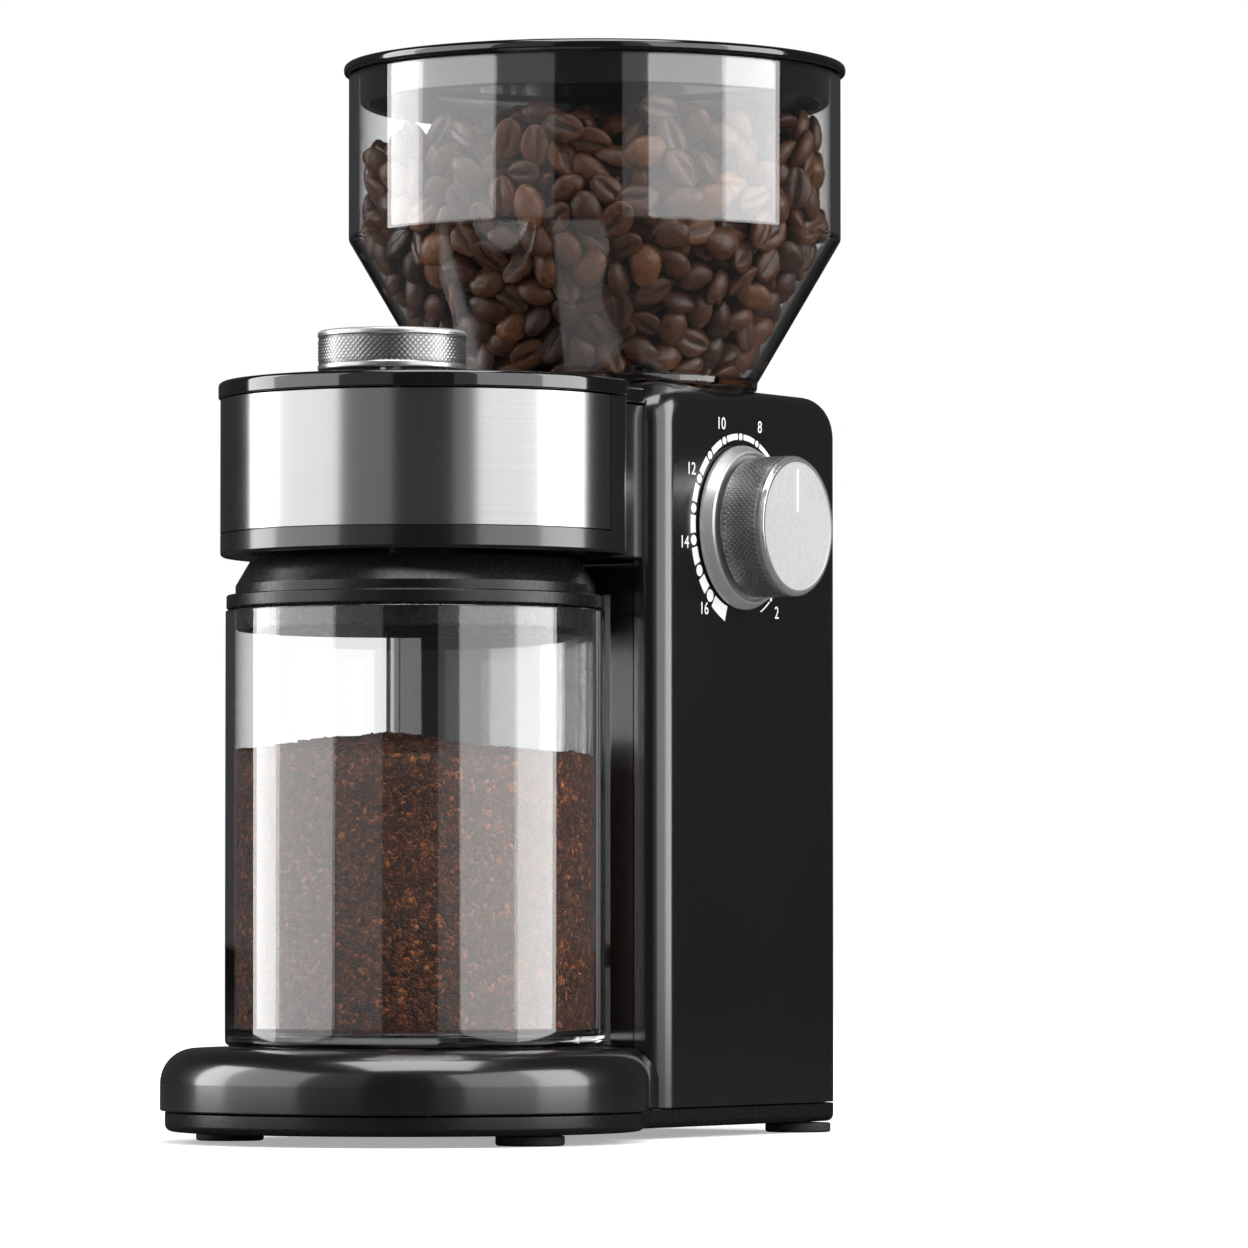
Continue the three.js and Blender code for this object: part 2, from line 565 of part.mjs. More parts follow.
function rearCover() {
  const [z0, z1] = [VENT_Z[0] + GAP, VENT_Z[1] - GAP];
  const half = VENT_HALF_WIDTH - GAP;
  let cover = box([-half, half], [COLUMN_REAR - WALL, COLUMN_REAR - 0.2], [z0, z1]);
  const pitch = (z1 - z0) / (VENT_SLOTS + 1);
  for (let i = 1; i <= VENT_SLOTS; i++) {
    const middle = z0 + i * pitch;
    const slot = box([-half + 5, half - 5], [COLUMN_REAR - WALL - 1, COLUMN_REAR + 1],
      [middle - VENT_SLOT_HEIGHT / 2, middle + VENT_SLOT_HEIGHT / 2]);
    cover = cover.subtract(slot);
  }
  return toMesh('rear_cover', cover, blackPlastic);
}

function cordGrommet() {
  const profile = [[GROMMET_BORE_R, -WALL - 2], [GROMMET_R, -WALL - 2], [GROMMET_R, GAP],
    [GROMMET_FLANGE_R, GAP], [GROMMET_FLANGE_R - 1, 2.6], [GROMMET_BORE_R, 2.6]];
  const mesh = toMesh('cord_grommet', turned(profile, ROUND_SHAFT), rubber);
  placed(mesh, 0, COLUMN_REAR, GROMMET_Z);
  mesh.rotation.x = -Math.PI / 2;
  return mesh;
}

function hopperCollar() {
  const lipTop = COLLAR_BOTTOM + WALL - 0.5;
  const profile = [[COLLAR_IN_R, COLLAR_BOTTOM], [COLLAR_OUT_R + COLLAR_LIP, COLLAR_BOTTOM],
    [COLLAR_OUT_R + COLLAR_LIP, lipTop], [COLLAR_OUT_R, lipTop], [COLLAR_OUT_R, COLUMN_TOP],
    [COLLAR_IN_R, COLUMN_TOP]];
  return toMesh('hopper_collar', turned(profile, ROUND_LARGE), blackPlastic);
}

// The plunger that the container's wall holds in, and the switch behind it.
function interlock() {
  const wallBack = CONTAINER_Y + RECESS_R + WALL;
  const pinBack = wallBack + INTERLOCK_PIN_REACH;
  const pinFront = CONTAINER_Y + CONTAINER_R + GAP;
  const [width, depth, height] = INTERLOCK_SWITCH;
  const pin = disc(INTERLOCK_PIN_R, 0, pinBack - pinFront, ROUND_SMALL);
  const plunger = placed(toMesh('interlock_plunger', pin, greyPlastic), 0, pinFront, INTERLOCK_Z);
  plunger.rotation.x = -Math.PI / 2;
  const earGap = wallBack + GAP - (pinBack + GAP);
  const body = box([-width / 2, width / 2], [earGap, depth], [-height / 2, height / 2])
    .subtract(box([2 - width / 2, width / 2 - 2], [earGap - 1, 0], [-height, height]));
  return [plunger, placed(toMesh('interlock_switch', body, greyPlastic), 0, pinBack + GAP, INTERLOCK_Z)];
}

// ---------------------------------------------------------------- head over the container

// Plan of the head: a drum that narrows to a neck and meets the column.
function headPlan(inset, proud = 0, back = HEAD_BACK) {
  const drum = HEAD_R - inset + proud;
  const neck = HEAD_NECK_HALF - inset;
  const flankEnd = HEAD_Y + HEAD_FLANK;
  const neckStart = flankEnd + 0.62 * (HEAD_BACK - flankEnd);
  const plan = new THREE.Shape();
  plan.moveTo(-neck, back);
  plan.lineTo(-neck, neckStart);
  plan.bezierCurveTo(-neck, flankEnd + 8, -drum, flankEnd + 8, -drum, flankEnd);
  plan.lineTo(-drum, HEAD_Y);
  plan.absarc(0, HEAD_Y, drum, Math.PI, 2 * Math.PI, false);
  plan.lineTo(drum, flankEnd);
  plan.bezierCurveTo(drum, flankEnd + 8, neck, flankEnd + 8, neck, neckStart);
  plan.lineTo(neck, back);
  plan.closePath();
  return plan;
}

function bandPlan(inner, outer, pastCentre) {
  const back = HEAD_Y + pastCentre;
  const plan = new THREE.Shape();
  plan.moveTo(-outer, back);
  plan.lineTo(-outer, HEAD_Y);
  plan.absarc(0, HEAD_Y, outer, Math.PI, 2 * Math.PI, false);
  plan.lineTo(outer, back);
  plan.lineTo(inner, back);
  plan.lineTo(inner, HEAD_Y);
  plan.absarc(0, HEAD_Y, inner, 2 * Math.PI, Math.PI, true);
  plan.lineTo(-inner, back);
  plan.closePath();
  return plan;
}

function headShell() {
  const steps = 11;
  const skin = BAND_THICK + 2 * GAP;
  const bandRoom = pulled(bandPlan(HEAD_R - skin, HEAD_R + 5, BAND_PAST_CENTRE + GAP),
    BAND_BOTTOM - GAP, HEAD_TOP + 1, steps);
  const hollow = pulled(headPlan(skin + WALL, 0, HEAD_BACK + 1), HEAD_BOTTOM + WALL, HEAD_TOP + 1, steps);
  const spoutHole = disc(SPOUT_R + GAP, HEAD_BOTTOM - 1, HEAD_BOTTOM + WALL + 1)
    .translate([0, CONTAINER_Y, 0]);
  let shell = pulled(headPlan(0), HEAD_BOTTOM, HEAD_TOP, steps)
    .subtract(bandRoom).subtract(hollow).subtract(spoutHole);
  for (const x of [-BOARD_POST[0], BOARD_POST[0]]) {
    const post = disc(3.5, HEAD_BOTTOM + 1, BOARD_BOTTOM - GAP, ROUND_SMALL);
    const bore = disc(SCREW_R + GAP, BOARD_BOTTOM - 12, BOARD_BOTTOM, ROUND_SMALL);
    shell = shell.add(post.subtract(bore).translate([x, BOARD_POST[1], 0]));
  }
  return toMesh('head_shell', shell, blackPlastic);
}

function steelBand() {
  const band = pulled(bandPlan(HEAD_R - BAND_THICK, HEAD_R, BAND_PAST_CENTRE), BAND_BOTTOM, HEAD_TOP, 14);
  return toMesh('steel_band', band, brushedSteel);
}

function headCap() {
  const steps = 11;
  const cap = pulledRounded(headPlan(0, CAP_PROUD), CAP_BOTTOM, CAP_TOP, 1, steps);
  const hollow = pulled(headPlan(WALL, 0), CAP_BOTTOM - 1, CAP_TOP - 2, steps);
  const shaftHole = disc(SELECTOR_SHAFT_R + SPIN_GAP, 0, CAP_TOP + 1, ROUND_SMALL)
    .translate([0, SELECTOR_Y, 0]);
  return toMesh('head_cap', cap.subtract(hollow).subtract(shaftHole), blackPlastic);
}

// Carries the grounds from the burr chamber to the spout over the container.
function groundsChute() {
  const runX = -CHUTE_MOUTH_X;
  const runY = CONTAINER_Y - CHUTE_MOUTH_Y;
  const length = Math.hypot(runX, runY);
  const turn = THREE.MathUtils.radToDeg(Math.atan2(runX, -runY));
  const channel = (half, low, high, extra) => box([-half, half], [-extra, length], [low, high])
    .rotate([0, 0, turn]).translate([0, CONTAINER_Y, 0]);
  const top = CHUTE_BOTTOM + CHUTE_HEIGHT;
  const outer = channel(CHUTE_WIDTH / 2, CHUTE_BOTTOM, top, 0)
    .add(channel(CHUTE_WIDTH / 2, CHUTE_BOTTOM, top, -length + 8).translate([CHUTE_MOUTH_X / 9, 3, 0]))
    .add(disc(SPOUT_R, HEAD_BOTTOM + GAP, top).translate([0, CONTAINER_Y, 0]));
  const inner = channel(CHUTE_WIDTH / 2 - CHUTE_WALL, CHUTE_BOTTOM + CHUTE_WALL, top - CHUTE_WALL, -2)
    .add(channel(CHUTE_WIDTH / 2 - CHUTE_WALL, CHUTE_BOTTOM + CHUTE_WALL, top - CHUTE_WALL, -length + 8)
      .translate([CHUTE_MOUTH_X / 3.5, 15, 0]))
    .add(disc(SPOUT_R - CHUTE_WALL, 0, top - CHUTE_WALL).translate([0, CONTAINER_Y, 0]));
  const pastMouth = box([-60, 60], [CHUTE_MOUTH_Y, 60], [0, 200]);
  return toMesh('grounds_chute', outer.subtract(inner).subtract(pastMouth), greyPlastic);
}

function controls() {
  const board = box([-BOARD_HALF_WIDTH, BOARD_HALF_WIDTH], BOARD_Y, [BOARD_BOTTOM, BOARD_TOP]);
  const screwHole = disc(SCREW_R + GAP, BOARD_BOTTOM - 1, BOARD_TOP + 1, ROUND_SMALL);
  const drilled = board
    .subtract(screwHole.translate([BOARD_POST[0], BOARD_POST[1], 0]))
    .subtract(screwHole.translate([-BOARD_POST[0], BOARD_POST[1], 0]));
  const half = ENCODER_SIZE / 2;
  const encoder = box([-half, half], [-half, half], [0, ENCODER_HEIGHT])
    .subtract(disc(SELECTOR_SHAFT_R + SPIN_GAP, 1, ENCODER_HEIGHT + 1, ROUND_SMALL));
  const small = SWITCH_SIZE / 2;
  const startSwitch = box([-small, small], [-small, small], [0, ENCODER_HEIGHT - 0.2]);
  const seat = BOARD_TOP + GAP;
  const screwTop = seat + SCREW_HEAD_THICK;
  return [
    toMesh('control_board', drilled, boardGreen),
    placed(toMesh('selector_encoder', encoder, greyPlastic), 0, SELECTOR_Y, seat),
    placed(toMesh('start_switch', startSwitch, greyPlastic), half + small + 0.8, SELECTOR_Y, seat),
    screw('board_screw_left', -BOARD_POST[0], BOARD_POST[1], screwTop, 11, true),
    screw('board_screw_right', BOARD_POST[0], BOARD_POST[1], screwTop, 11, true),
  ];
}

// The knob for the number of cups, its shaft, and the collar that presses the start switch.
function selector() {
  const bottom = SELECTOR_TOP - SELECTOR_HEIGHT;
  const shaftBottom = BOARD_TOP + GAP + 1 + START_TRAVEL + 0.3;
  const shaftTop = SELECTOR_TOP - 3;
  const chamfer = 0.9;
  const socketR = SELECTOR_SHAFT_R + GAP;
  const knob = turned([[0, shaftTop + GAP], [socketR, shaftTop + GAP], [socketR, bottom],
    [SELECTOR_R - chamfer, bottom], [SELECTOR_R, bottom + chamfer],
    [SELECTOR_R, SELECTOR_TOP - chamfer], [SELECTOR_R - chamfer, SELECTOR_TOP],
    [0, SELECTOR_TOP]], ROUND_LARGE);
  const shaft = disc(SELECTOR_SHAFT_R, shaftBottom, shaftTop, ROUND_SMALL);
  const collar = ring(SELECTOR_SHAFT_R + GAP, COLLAR_R, COLLAR_Z, COLLAR_Z + COLLAR_THICK, 20);
  return [
    toMesh('selector_knob', knob, aluminium),
    toMesh('selector_shaft', shaft, zincSteel),
    toMesh('start_collar', collar, whitePlastic),
  ].map((mesh) => placed(mesh, 0, SELECTOR_Y));
}

// ---------------------------------------------------------------- hopper and container

function hopperShell() {
  const slope = (HOPPER_R - HOPPER_BASE_R) / (HOPPER_SHOULDER - HOPPER_SEAT - HOPPER_BASE_THICK);
  const inner = HOPPER_R - HOPPER_WALL;
  const seatTop = HOPPER_SEAT + HOPPER_BASE_THICK;
  const coneWall = HOPPER_WALL * Math.sqrt(1 + slope * slope);
  const spigotIn = SPIGOT_R - SPIGOT_WALL;
  const shoulderIn = HOPPER_SHOULDER + (coneWall - HOPPER_WALL) / slope;
  const profile = [[spigotIn, SPIGOT_BOTTOM], [SPIGOT_R, SPIGOT_BOTTOM], [SPIGOT_R, HOPPER_SEAT],
    [HOPPER_BASE_R, HOPPER_SEAT], [HOPPER_BASE_R, seatTop], [HOPPER_R, HOPPER_SHOULDER],
    [HOPPER_R, HOPPER_TOP], [inner, HOPPER_TOP], [inner, shoulderIn],
    [HOPPER_BASE_R - coneWall, seatTop], [spigotIn, seatTop - 1]];
  return toMesh('hopper_shell', turned(profile, ROUND_LARGE), clearPlastic);
}

function hopperLid() {
  const seat = HOPPER_TOP + GAP;
  const skirt = HOPPER_R - HOPPER_WALL - GAP;
  const skirtIn = skirt - HOPPER_LID_SKIRT_WALL;
  const edge = 1;
  const dishR = skirtIn - 4;
  const profile = [[0, seat], [skirtIn, seat], [skirtIn, seat - HOPPER_LID_SKIRT_DEPTH],
    [skirt, seat - HOPPER_LID_SKIRT_DEPTH], [skirt, seat], [HOPPER_LID_R - edge, seat],
    [HOPPER_LID_R, seat + edge], [HOPPER_LID_R, TOTAL_HEIGHT - edge],
    [HOPPER_LID_R - edge, TOTAL_HEIGHT], [dishR + 1, TOTAL_HEIGHT],
    [dishR, TOTAL_HEIGHT - HOPPER_LID_DISH], [0, TOTAL_HEIGHT - HOPPER_LID_DISH]];
  return toMesh('hopper_lid', turned(profile, ROUND_LARGE), blackPlastic);
}

function containerJar() {
  const inner = CONTAINER_R - CONTAINER_WALL;
  const floor = CONTAINER_BOTTOM + CONTAINER_FLOOR;
  const profile = [[0, CONTAINER_BOTTOM], [CONTAINER_R - 1.5, CONTAINER_BOTTOM],
    [CONTAINER_R, CONTAINER_BOTTOM + 1.5], [CONTAINER_R, CONTAINER_TOP], [inner, CONTAINER_TOP],
    [inner, floor + 2], [inner - 2, floor], [0, floor]];
  return placed(toMesh('container_jar', turned(profile, ROUND_LARGE), clearPlastic), 0, CONTAINER_Y);
}

function containerLid() {
  const skirt = CONTAINER_R - CONTAINER_WALL - GAP;
  const skirtIn = skirt - LID_WALL;
  const ringIn = Math.min(LID_RING_R - LID_WALL, skirtIn);
  const profile = [[skirtIn, LID_SEAT - LID_SKIRT_DEPTH], [skirt, LID_SEAT - LID_SKIRT_DEPTH],
    [skirt, LID_SEAT], [LID_FLANGE_R, LID_SEAT], [LID_FLANGE_R, LID_RING_BOTTOM],
    [LID_RING_R, LID_RING_BOTTOM], [LID_RING_R, LID_CONE_BOTTOM], [LID_CONE_R, LID_TOP],
    [LID_HOLE_R, LID_TOP], [LID_HOLE_R, LID_TOP - LID_WALL], [LID_CONE_R - LID_WALL, LID_TOP - LID_WALL],
    [ringIn, LID_CONE_BOTTOM]];
  return placed(toMesh('container_lid', turned(profile, ROUND_LARGE), blackPlastic), 0, CONTAINER_Y);
}

// ---------------------------------------------------------------- burrs, on an axis along X

// The burr chamber, the auger's bore, the bean throat and the mouth towards the chute.
function burrHousing() {
  const boreWall = AUGER_BORE_R + WALL;
  const bearingSeat = HOUSING_START_X + WALL;
  const plateTop = COLLAR_BOTTOM - GAP - BURR_AXIS_Z;
  // In this frame Z is the world's X, X points down and Y is the world's Y.
  const throat = (grow, top) => box([-top, 0],
    [THROAT_Y[0] - BURR_AXIS_Y - grow, THROAT_Y[1] - BURR_AXIS_Y + grow],
    [THROAT_X[0] - grow, THROAT_X[1] + grow]);
  const plate = disc(COLLAR_IN_R, plateTop - WALL, plateTop, ROUND_LARGE).rotate([0, -90, 0])
    .translate([0, -BURR_AXIS_Y, 0]);
  const mouthLow = CHUTE_BOTTOM - BURR_AXIS_Z;
  const mouthHigh = mouthLow + CHUTE_HEIGHT;
  const mouthFront = CHUTE_MOUTH_Y + GAP - BURR_AXIS_Y;
  const slant = Math.hypot(CHUTE_MOUTH_X, CONTAINER_Y - CHUTE_MOUTH_Y) / (CHUTE_MOUTH_Y - CONTAINER_Y);
  const mouth = (half, front, edge) => box([-mouthHigh + edge, -mouthLow - edge], [front, -10],
    [CHUTE_MOUTH_X - half * slant, CHUTE_MOUTH_X + half * slant]);
  const outer = disc(HOUSING_OUT_R, CHAMBER_START_X - WALL, HOUSING_END_X, ROUND_LARGE)
    .add(disc(boreWall, HOUSING_START_X, CHAMBER_START_X))
    .add(throat(WALL, plateTop - 1)).add(plate)
    .add(mouth(CHUTE_WIDTH / 2, mouthFront, 0));
  const inner = disc(BURR_CHAMBER_R, CHAMBER_START_X, HOUSING_END_X + 1, ROUND_LARGE)
    .add(disc(AUGER_BORE_R, bearingSeat, CHAMBER_START_X + 1))
    .add(throat(0, plateTop + 1))
    .add(disc(BEARING_R + GAP, HOUSING_START_X - 1, bearingSeat + 1))
    .add(mouth(CHUTE_WIDTH / 2 - CHUTE_WALL, mouthFront - 1, CHUTE_WALL));
  const postStart = GEAR_PLATE_X + GEAR_PLATE_THICK + GAP;
  const postR = (boreWall - BEARING_R - GAP) / 2 - 0.6;
  const postAt = (boreWall + BEARING_R) / 2;
  let housing = outer.subtract(inner);
  for (let i = 0; i < 3; i++) {
    const post = disc(postR, postStart, HOUSING_START_X + 1, ROUND_SMALL)
      .translate([postAt, 0, 0]).rotate([0, 0, 60 + 120 * i]);
    housing = housing.add(post);
  }
  return toMesh('burr_housing', housing, greyPlastic);
}

function burrHousingCover() {
  const start = HOUSING_END_X + GAP;
  const cover = ring(DIAL_HUB_R + SPIN_GAP, HOUSING_OUT_R, start, start + WALL);
  return toMesh('burr_housing_cover', cover, greyPlastic);
}

function bearing(name, start) {
  const race = ring(SHAFT_R + GAP, BEARING_R, start, start + BEARING_WIDTH, ROUND_SHAFT);
  return toMesh(name, race, hardSteel);
}

function beanAuger() {
  const start = THROAT_X[0] + 2.5;
  const end = BURR_START_X - GAP;
  const turns = (end - start - 2 * AUGER_WIRE_R) / AUGER_PITCH;
  class Helix extends THREE.Curve {
    getPoint(t, target = new THREE.Vector3()) {
      const angle = 2 * Math.PI * turns * t;
      const height = start + AUGER_WIRE_R + AUGER_PITCH * turns * t;
      return target.set(AUGER_HELIX_R * Math.cos(angle), AUGER_HELIX_R * Math.sin(angle), height);
    }
  }
  const section = new THREE.Shape().absarc(0, 0, AUGER_WIRE_R, 0, 2 * Math.PI, false);
  const flight = solid(new THREE.ExtrudeGeometry(section, {
    extrudePath: new Helix(), steps: 14, curveSegments: 3, bevelEnabled: false,
  }));
  const core = disc(AUGER_CORE_R, start, end, ROUND_SHAFT);
  const bore = disc(SHAFT_R + GAP, start - 1, end + 1, ROUND_SHAFT);
  return toMesh('bean_auger', core.add(flight).subtract(bore), hardSteel);
}

// A cone with ridges: a star outline, cut to the cone's shape.
function innerBurr() {
  const ridges = 8;
  const star = new THREE.Shape();
  for (let i = 0; i < 2 * ridges; i++) {
    const r = i % 2 ? INNER_BURR_LARGE_R * 0.88 : INNER_BURR_LARGE_R * 1.05;
    const angle = (i * Math.PI) / ridges;
    if (i) star.lineTo(r * Math.cos(angle), r * Math.sin(angle));
    else star.moveTo(r, 0);
  }
  star.closePath();
  const cone = turned([[0, 0], [INNER_BURR_SMALL_R, 0], [INNER_BURR_LARGE_R, BURR_LENGTH - 3],
    [INNER_BURR_LARGE_R, BURR_LENGTH], [0, BURR_LENGTH]]);
  const burr = pulled(star, 0, BURR_LENGTH).intersect(cone)
    .subtract(disc(SHAFT_R + GAP, -1, BURR_LENGTH + 1, ROUND_SHAFT))
    .translate([0, 0, BURR_START_X]);
  return toMesh('inner_burr', burr, hardSteel);
}

function outerBurr() {
  const outIn = INNER_BURR_LARGE_R + BURR_GRIND_GAP;
  const profile = [[OUTER_BURR_IN_R, BURR_START_X], [OUTER_BURR_R, BURR_START_X],
    [OUTER_BURR_R, BURR_END_X], [outIn, BURR_END_X]];
  return toMesh('outer_burr', turned(profile), hardSteel);
}

// Holds the outer burr. Three legs pass the impeller and reach the disc that the dial screws in.
function burrCarrier() {
  const windowHalf = 13.5;
  const sleeve = ring(CARRIER_IN_R, CARRIER_OUT_R, BURR_START_X - 1, CARRIER_DISC_X + WALL)
    .add(ring(OUTER_BURR_IN_R + 1, CARRIER_OUT_R, BURR_START_X - 1, BURR_START_X - GAP))
    .add(ring(DIAL_STEM_R + GAP, CARRIER_OUT_R, CARRIER_DISC_X, CARRIER_DISC_X + WALL))
    .add(ring(DIAL_STEM_R + GAP, DIAL_HUB_R, CARRIER_DISC_X + WALL - 1, PANEL_FACE_X - 1));
  let windows = null;
  for (let i = 0; i < 3; i++) {
    const between = box([0, CARRIER_OUT_R + 2], [-windowHalf, windowHalf],
      [BURR_END_X + 0.5, CARRIER_DISC_X - 0.2]).rotate([0, 0, -90 + 120 * i]);
    windows = windows ? windows.add(between) : between;
  }
  return toMesh('burr_carrier', sleeve.subtract(windows), greyPlastic);
}

function groundsImpeller() {
  const blades = 5;
  let impeller = disc(SHAFT_R + 2.4, IMPELLER_START_X, IMPELLER_START_X + IMPELLER_WIDTH, ROUND_SHAFT)
    .add(disc(IMPELLER_R - 3, IMPELLER_START_X, IMPELLER_START_X + 1, ROUND_SHAFT));
  for (let i = 0; i < blades; i++) {
    const blade = box([SHAFT_R + 1, IMPELLER_R], [-0.9, 0.9],
      [IMPELLER_START_X, IMPELLER_START_X + IMPELLER_WIDTH]).rotate([0, 0, (360 * i) / blades]);
    impeller = impeller.add(blade);
  }
  const bore = disc(SHAFT_R + GAP, 0, IMPELLER_START_X + IMPELLER_WIDTH + 1, ROUND_SHAFT);
  return toMesh('grounds_impeller', impeller.subtract(bore), whitePlastic);
}

// Straight-sided teeth, narrow enough to turn freely at the stated centre distances.
function gear(name, teeth, boreR, firstToothDeg, material) {
  const pitchR = (teeth * GEAR_MODULE) / 2;
  const [rootR, tipR] = [pitchR - 1.2 * GEAR_MODULE, pitchR + 0.75 * GEAR_MODULE];
  const step = (2 * Math.PI) / teeth;
  const outline = new THREE.Shape();
  for (let i = 0; i < teeth; i++) {
    const middle = rad(firstToothDeg) + i * step;
    const corners = [[rootR, -0.3], [tipR, -0.12], [tipR, 0.12], [rootR, 0.3]];
    for (const [r, share] of corners) {
      const angle = middle + share * step;
      const point = [r * Math.cos(angle), r * Math.sin(angle)];
      if (i === 0 && share === -0.3) outline.moveTo(...point);
      else outline.lineTo(...point);
    }
  }
  outline.closePath();
  const bore = disc(boreR, -1, GEAR_WIDTH + 1, ROUND_SHAFT);
  return toMesh(name, pulled(outline, 0, GEAR_WIDTH).subtract(bore)
    .translate([0, 0, GEAR_START_X]), material);
}

// Angle in an axis group, from its own X axis, of the direction from one axis to another.
// The group's X points down and its Y is the world's Y.
function bearingDeg([fromY, fromZ], [toY, toZ]) {
  return THREE.MathUtils.radToDeg(Math.atan2(toY - fromY, -(toZ - fromZ)));
}

function burrLine() {
  const shaft = disc(SHAFT_R, GEAR_START_X - 1, SHAFT_END_X, ROUND_SHAFT);
  const driven = gear('driven_gear', DRIVEN_TEETH, SHAFT_R + GAP,
    bearingDeg([BURR_AXIS_Y, BURR_AXIS_Z], IDLER_AT), whitePlastic);
  return lineAlongX(BURR_AXIS_Y, BURR_AXIS_Z,
    burrHousing(), burrHousingCover(),
    bearing('burr_bearing_inner', HOUSING_START_X - BEARING_WIDTH / 2),
    bearing('burr_bearing_outer', GEAR_PLATE_X - 1),
    toMesh('burr_shaft', shaft, zincSteel), beanAuger(), innerBurr(), outerBurr(),
    burrCarrier(), groundsImpeller(), driven, ...dialPieces());
}

// ---------------------------------------------------------------- grind dial

function dialPieces() {
  const bezelStart = PANEL_FACE_X + GAP;
  const bezelEnd = bezelStart + BEZEL_THICK;
  const bezel = turned([[DIAL_HUB_R + 1, bezelStart], [BEZEL_R, bezelStart], [BEZEL_R, bezelEnd - 1],
    [BEZEL_R - 1, bezelEnd], [DIAL_HUB_R + 1, bezelEnd]], ROUND_LARGE);
  const rim = DIAL_R - 2.2;
  const faceBack = DIAL_FACE_X - DIAL_FACE_WALL;
  const stemEnd = faceBack - GAP;
  const knob = turned([[0, faceBack], [DIAL_STEM_R + GAP, faceBack], [DIAL_STEM_R + GAP, DIAL_BACK_X],
    [DIAL_HUB_R, DIAL_BACK_X], [DIAL_HUB_R, faceBack], [rim, faceBack], [rim, DIAL_BACK_X],
    [DIAL_R, DIAL_BACK_X], [DIAL_R, DIAL_FACE_X - 1], [DIAL_FACE_R, DIAL_FACE_X],
    [0, DIAL_FACE_X]], ROUND_LARGE);
  const stem = disc(DIAL_STEM_R, CARRIER_DISC_X + 1, stemEnd, ROUND_SHAFT);
  return [
    toMesh('dial_bezel', bezel, aluminium),
    toMesh('dial_knob', knob, aluminium),
    toMesh('dial_stem', stem, zincSteel),
  ];
}

// ---------------------------------------------------------------- gears and motor

function gearPlate() {
  const [frontY, rearY] = [COLUMN_FRONT + WALL + 4, COLUMN_REAR - WALL - GAP];
  const bottom = MOTOR_AT[1] - MOTOR_R - 4;
  const top = BURR_AXIS_Z + BEARING_R + 12;
  const hole = (r, [y, z]) => disc(r, 0, 40, 20).rotate([0, 90, 0])
    .translate([GEAR_PLATE_X - 10, y, z]);
  const plate = box([GEAR_PLATE_X, GEAR_PLATE_X + GEAR_PLATE_THICK], [frontY, rearY], [bottom, top])
    .subtract(hole(BEARING_R + GAP, [BURR_AXIS_Y, BURR_AXIS_Z]))
    .subtract(hole(IDLER_PIN_R + GAP, IDLER_AT))
    .subtract(hole(MOTOR_SHAFT_R + 3, MOTOR_AT));
  return toMesh('gear_plate', plate, zincSteel);
}

function idlerLine() {
  const pin = disc(IDLER_PIN_R, GEAR_START_X - 1, GEAR_PLATE_X + GEAR_PLATE_THICK, ROUND_SMALL)
    .add(disc(IDLER_PIN_R + 1.8, GEAR_START_X - 1, GEAR_START_X - GAP, ROUND_SMALL));
  const towardsDriven = bearingDeg(IDLER_AT, [BURR_AXIS_Y, BURR_AXIS_Z]);
  const idler = gear('idler_gear', IDLER_TEETH, IDLER_PIN_R + GAP,
    towardsDriven + 180 / IDLER_TEETH, whitePlastic);
  return lineAlongX(...IDLER_AT, toMesh('idler_pin', pin, zincSteel), idler);
}

// The pinion has a gap where the idler has a tooth, on the line between their axes.
function pinionPhase() {
  const idlerFirst = bearingDeg(IDLER_AT, [BURR_AXIS_Y, BURR_AXIS_Z]) + 180 / IDLER_TEETH;
  const towardsPinion = bearingDeg(IDLER_AT, MOTOR_AT);
  const idlerStep = 360 / IDLER_TEETH;
  const offset = (((towardsPinion - idlerFirst) / idlerStep) % 1) * idlerStep;
  const pinionStep = 360 / PINION_TEETH;
  return bearingDeg(MOTOR_AT, IDLER_AT) + (offset / idlerStep) * pinionStep + pinionStep / 2;
}

function motorLine() {
  const end = MOTOR_START_X + MOTOR_LENGTH;
  const canStart = MOTOR_START_X + MOTOR_END_THICK + GAP;
  const canEnd = end - MOTOR_END_THICK - GAP;
  const canIn = MOTOR_R - MOTOR_WALL;
  const can = ring(canIn, MOTOR_R, canStart, canEnd);
  const endDisc = (z0) => ring(MOTOR_SHAFT_R + SPIN_GAP, MOTOR_R, z0, z0 + MOTOR_END_THICK);
  const rotorStart = canStart + (canEnd - canStart - ROTOR_LENGTH) / 2;
  const rotor = ring(MOTOR_SHAFT_R + GAP, ROTOR_R, rotorStart, rotorStart + ROTOR_LENGTH, 20);
  const shaft = disc(MOTOR_SHAFT_R, GEAR_START_X - 1, end + FAN_WIDTH + 1, ROUND_SMALL);
  return lineAlongX(...MOTOR_AT,
    toMesh('motor_can', can, zincSteel),
    toMesh('motor_end_drive', endDisc(MOTOR_START_X), zincSteel),
    toMesh('motor_end_rear', endDisc(end - MOTOR_END_THICK), zincSteel),
    magnet('motor_magnet_upper', 180, rotorStart), magnet('motor_magnet_lower', 0, rotorStart),
    toMesh('rotor_core', rotor, ironCore),
    toMesh('motor_shaft', shaft, zincSteel),
    coolingFan(end + GAP),
    gear('motor_pinion', PINION_TEETH, MOTOR_SHAFT_R + GAP, pinionPhase(), zincSteel));
}

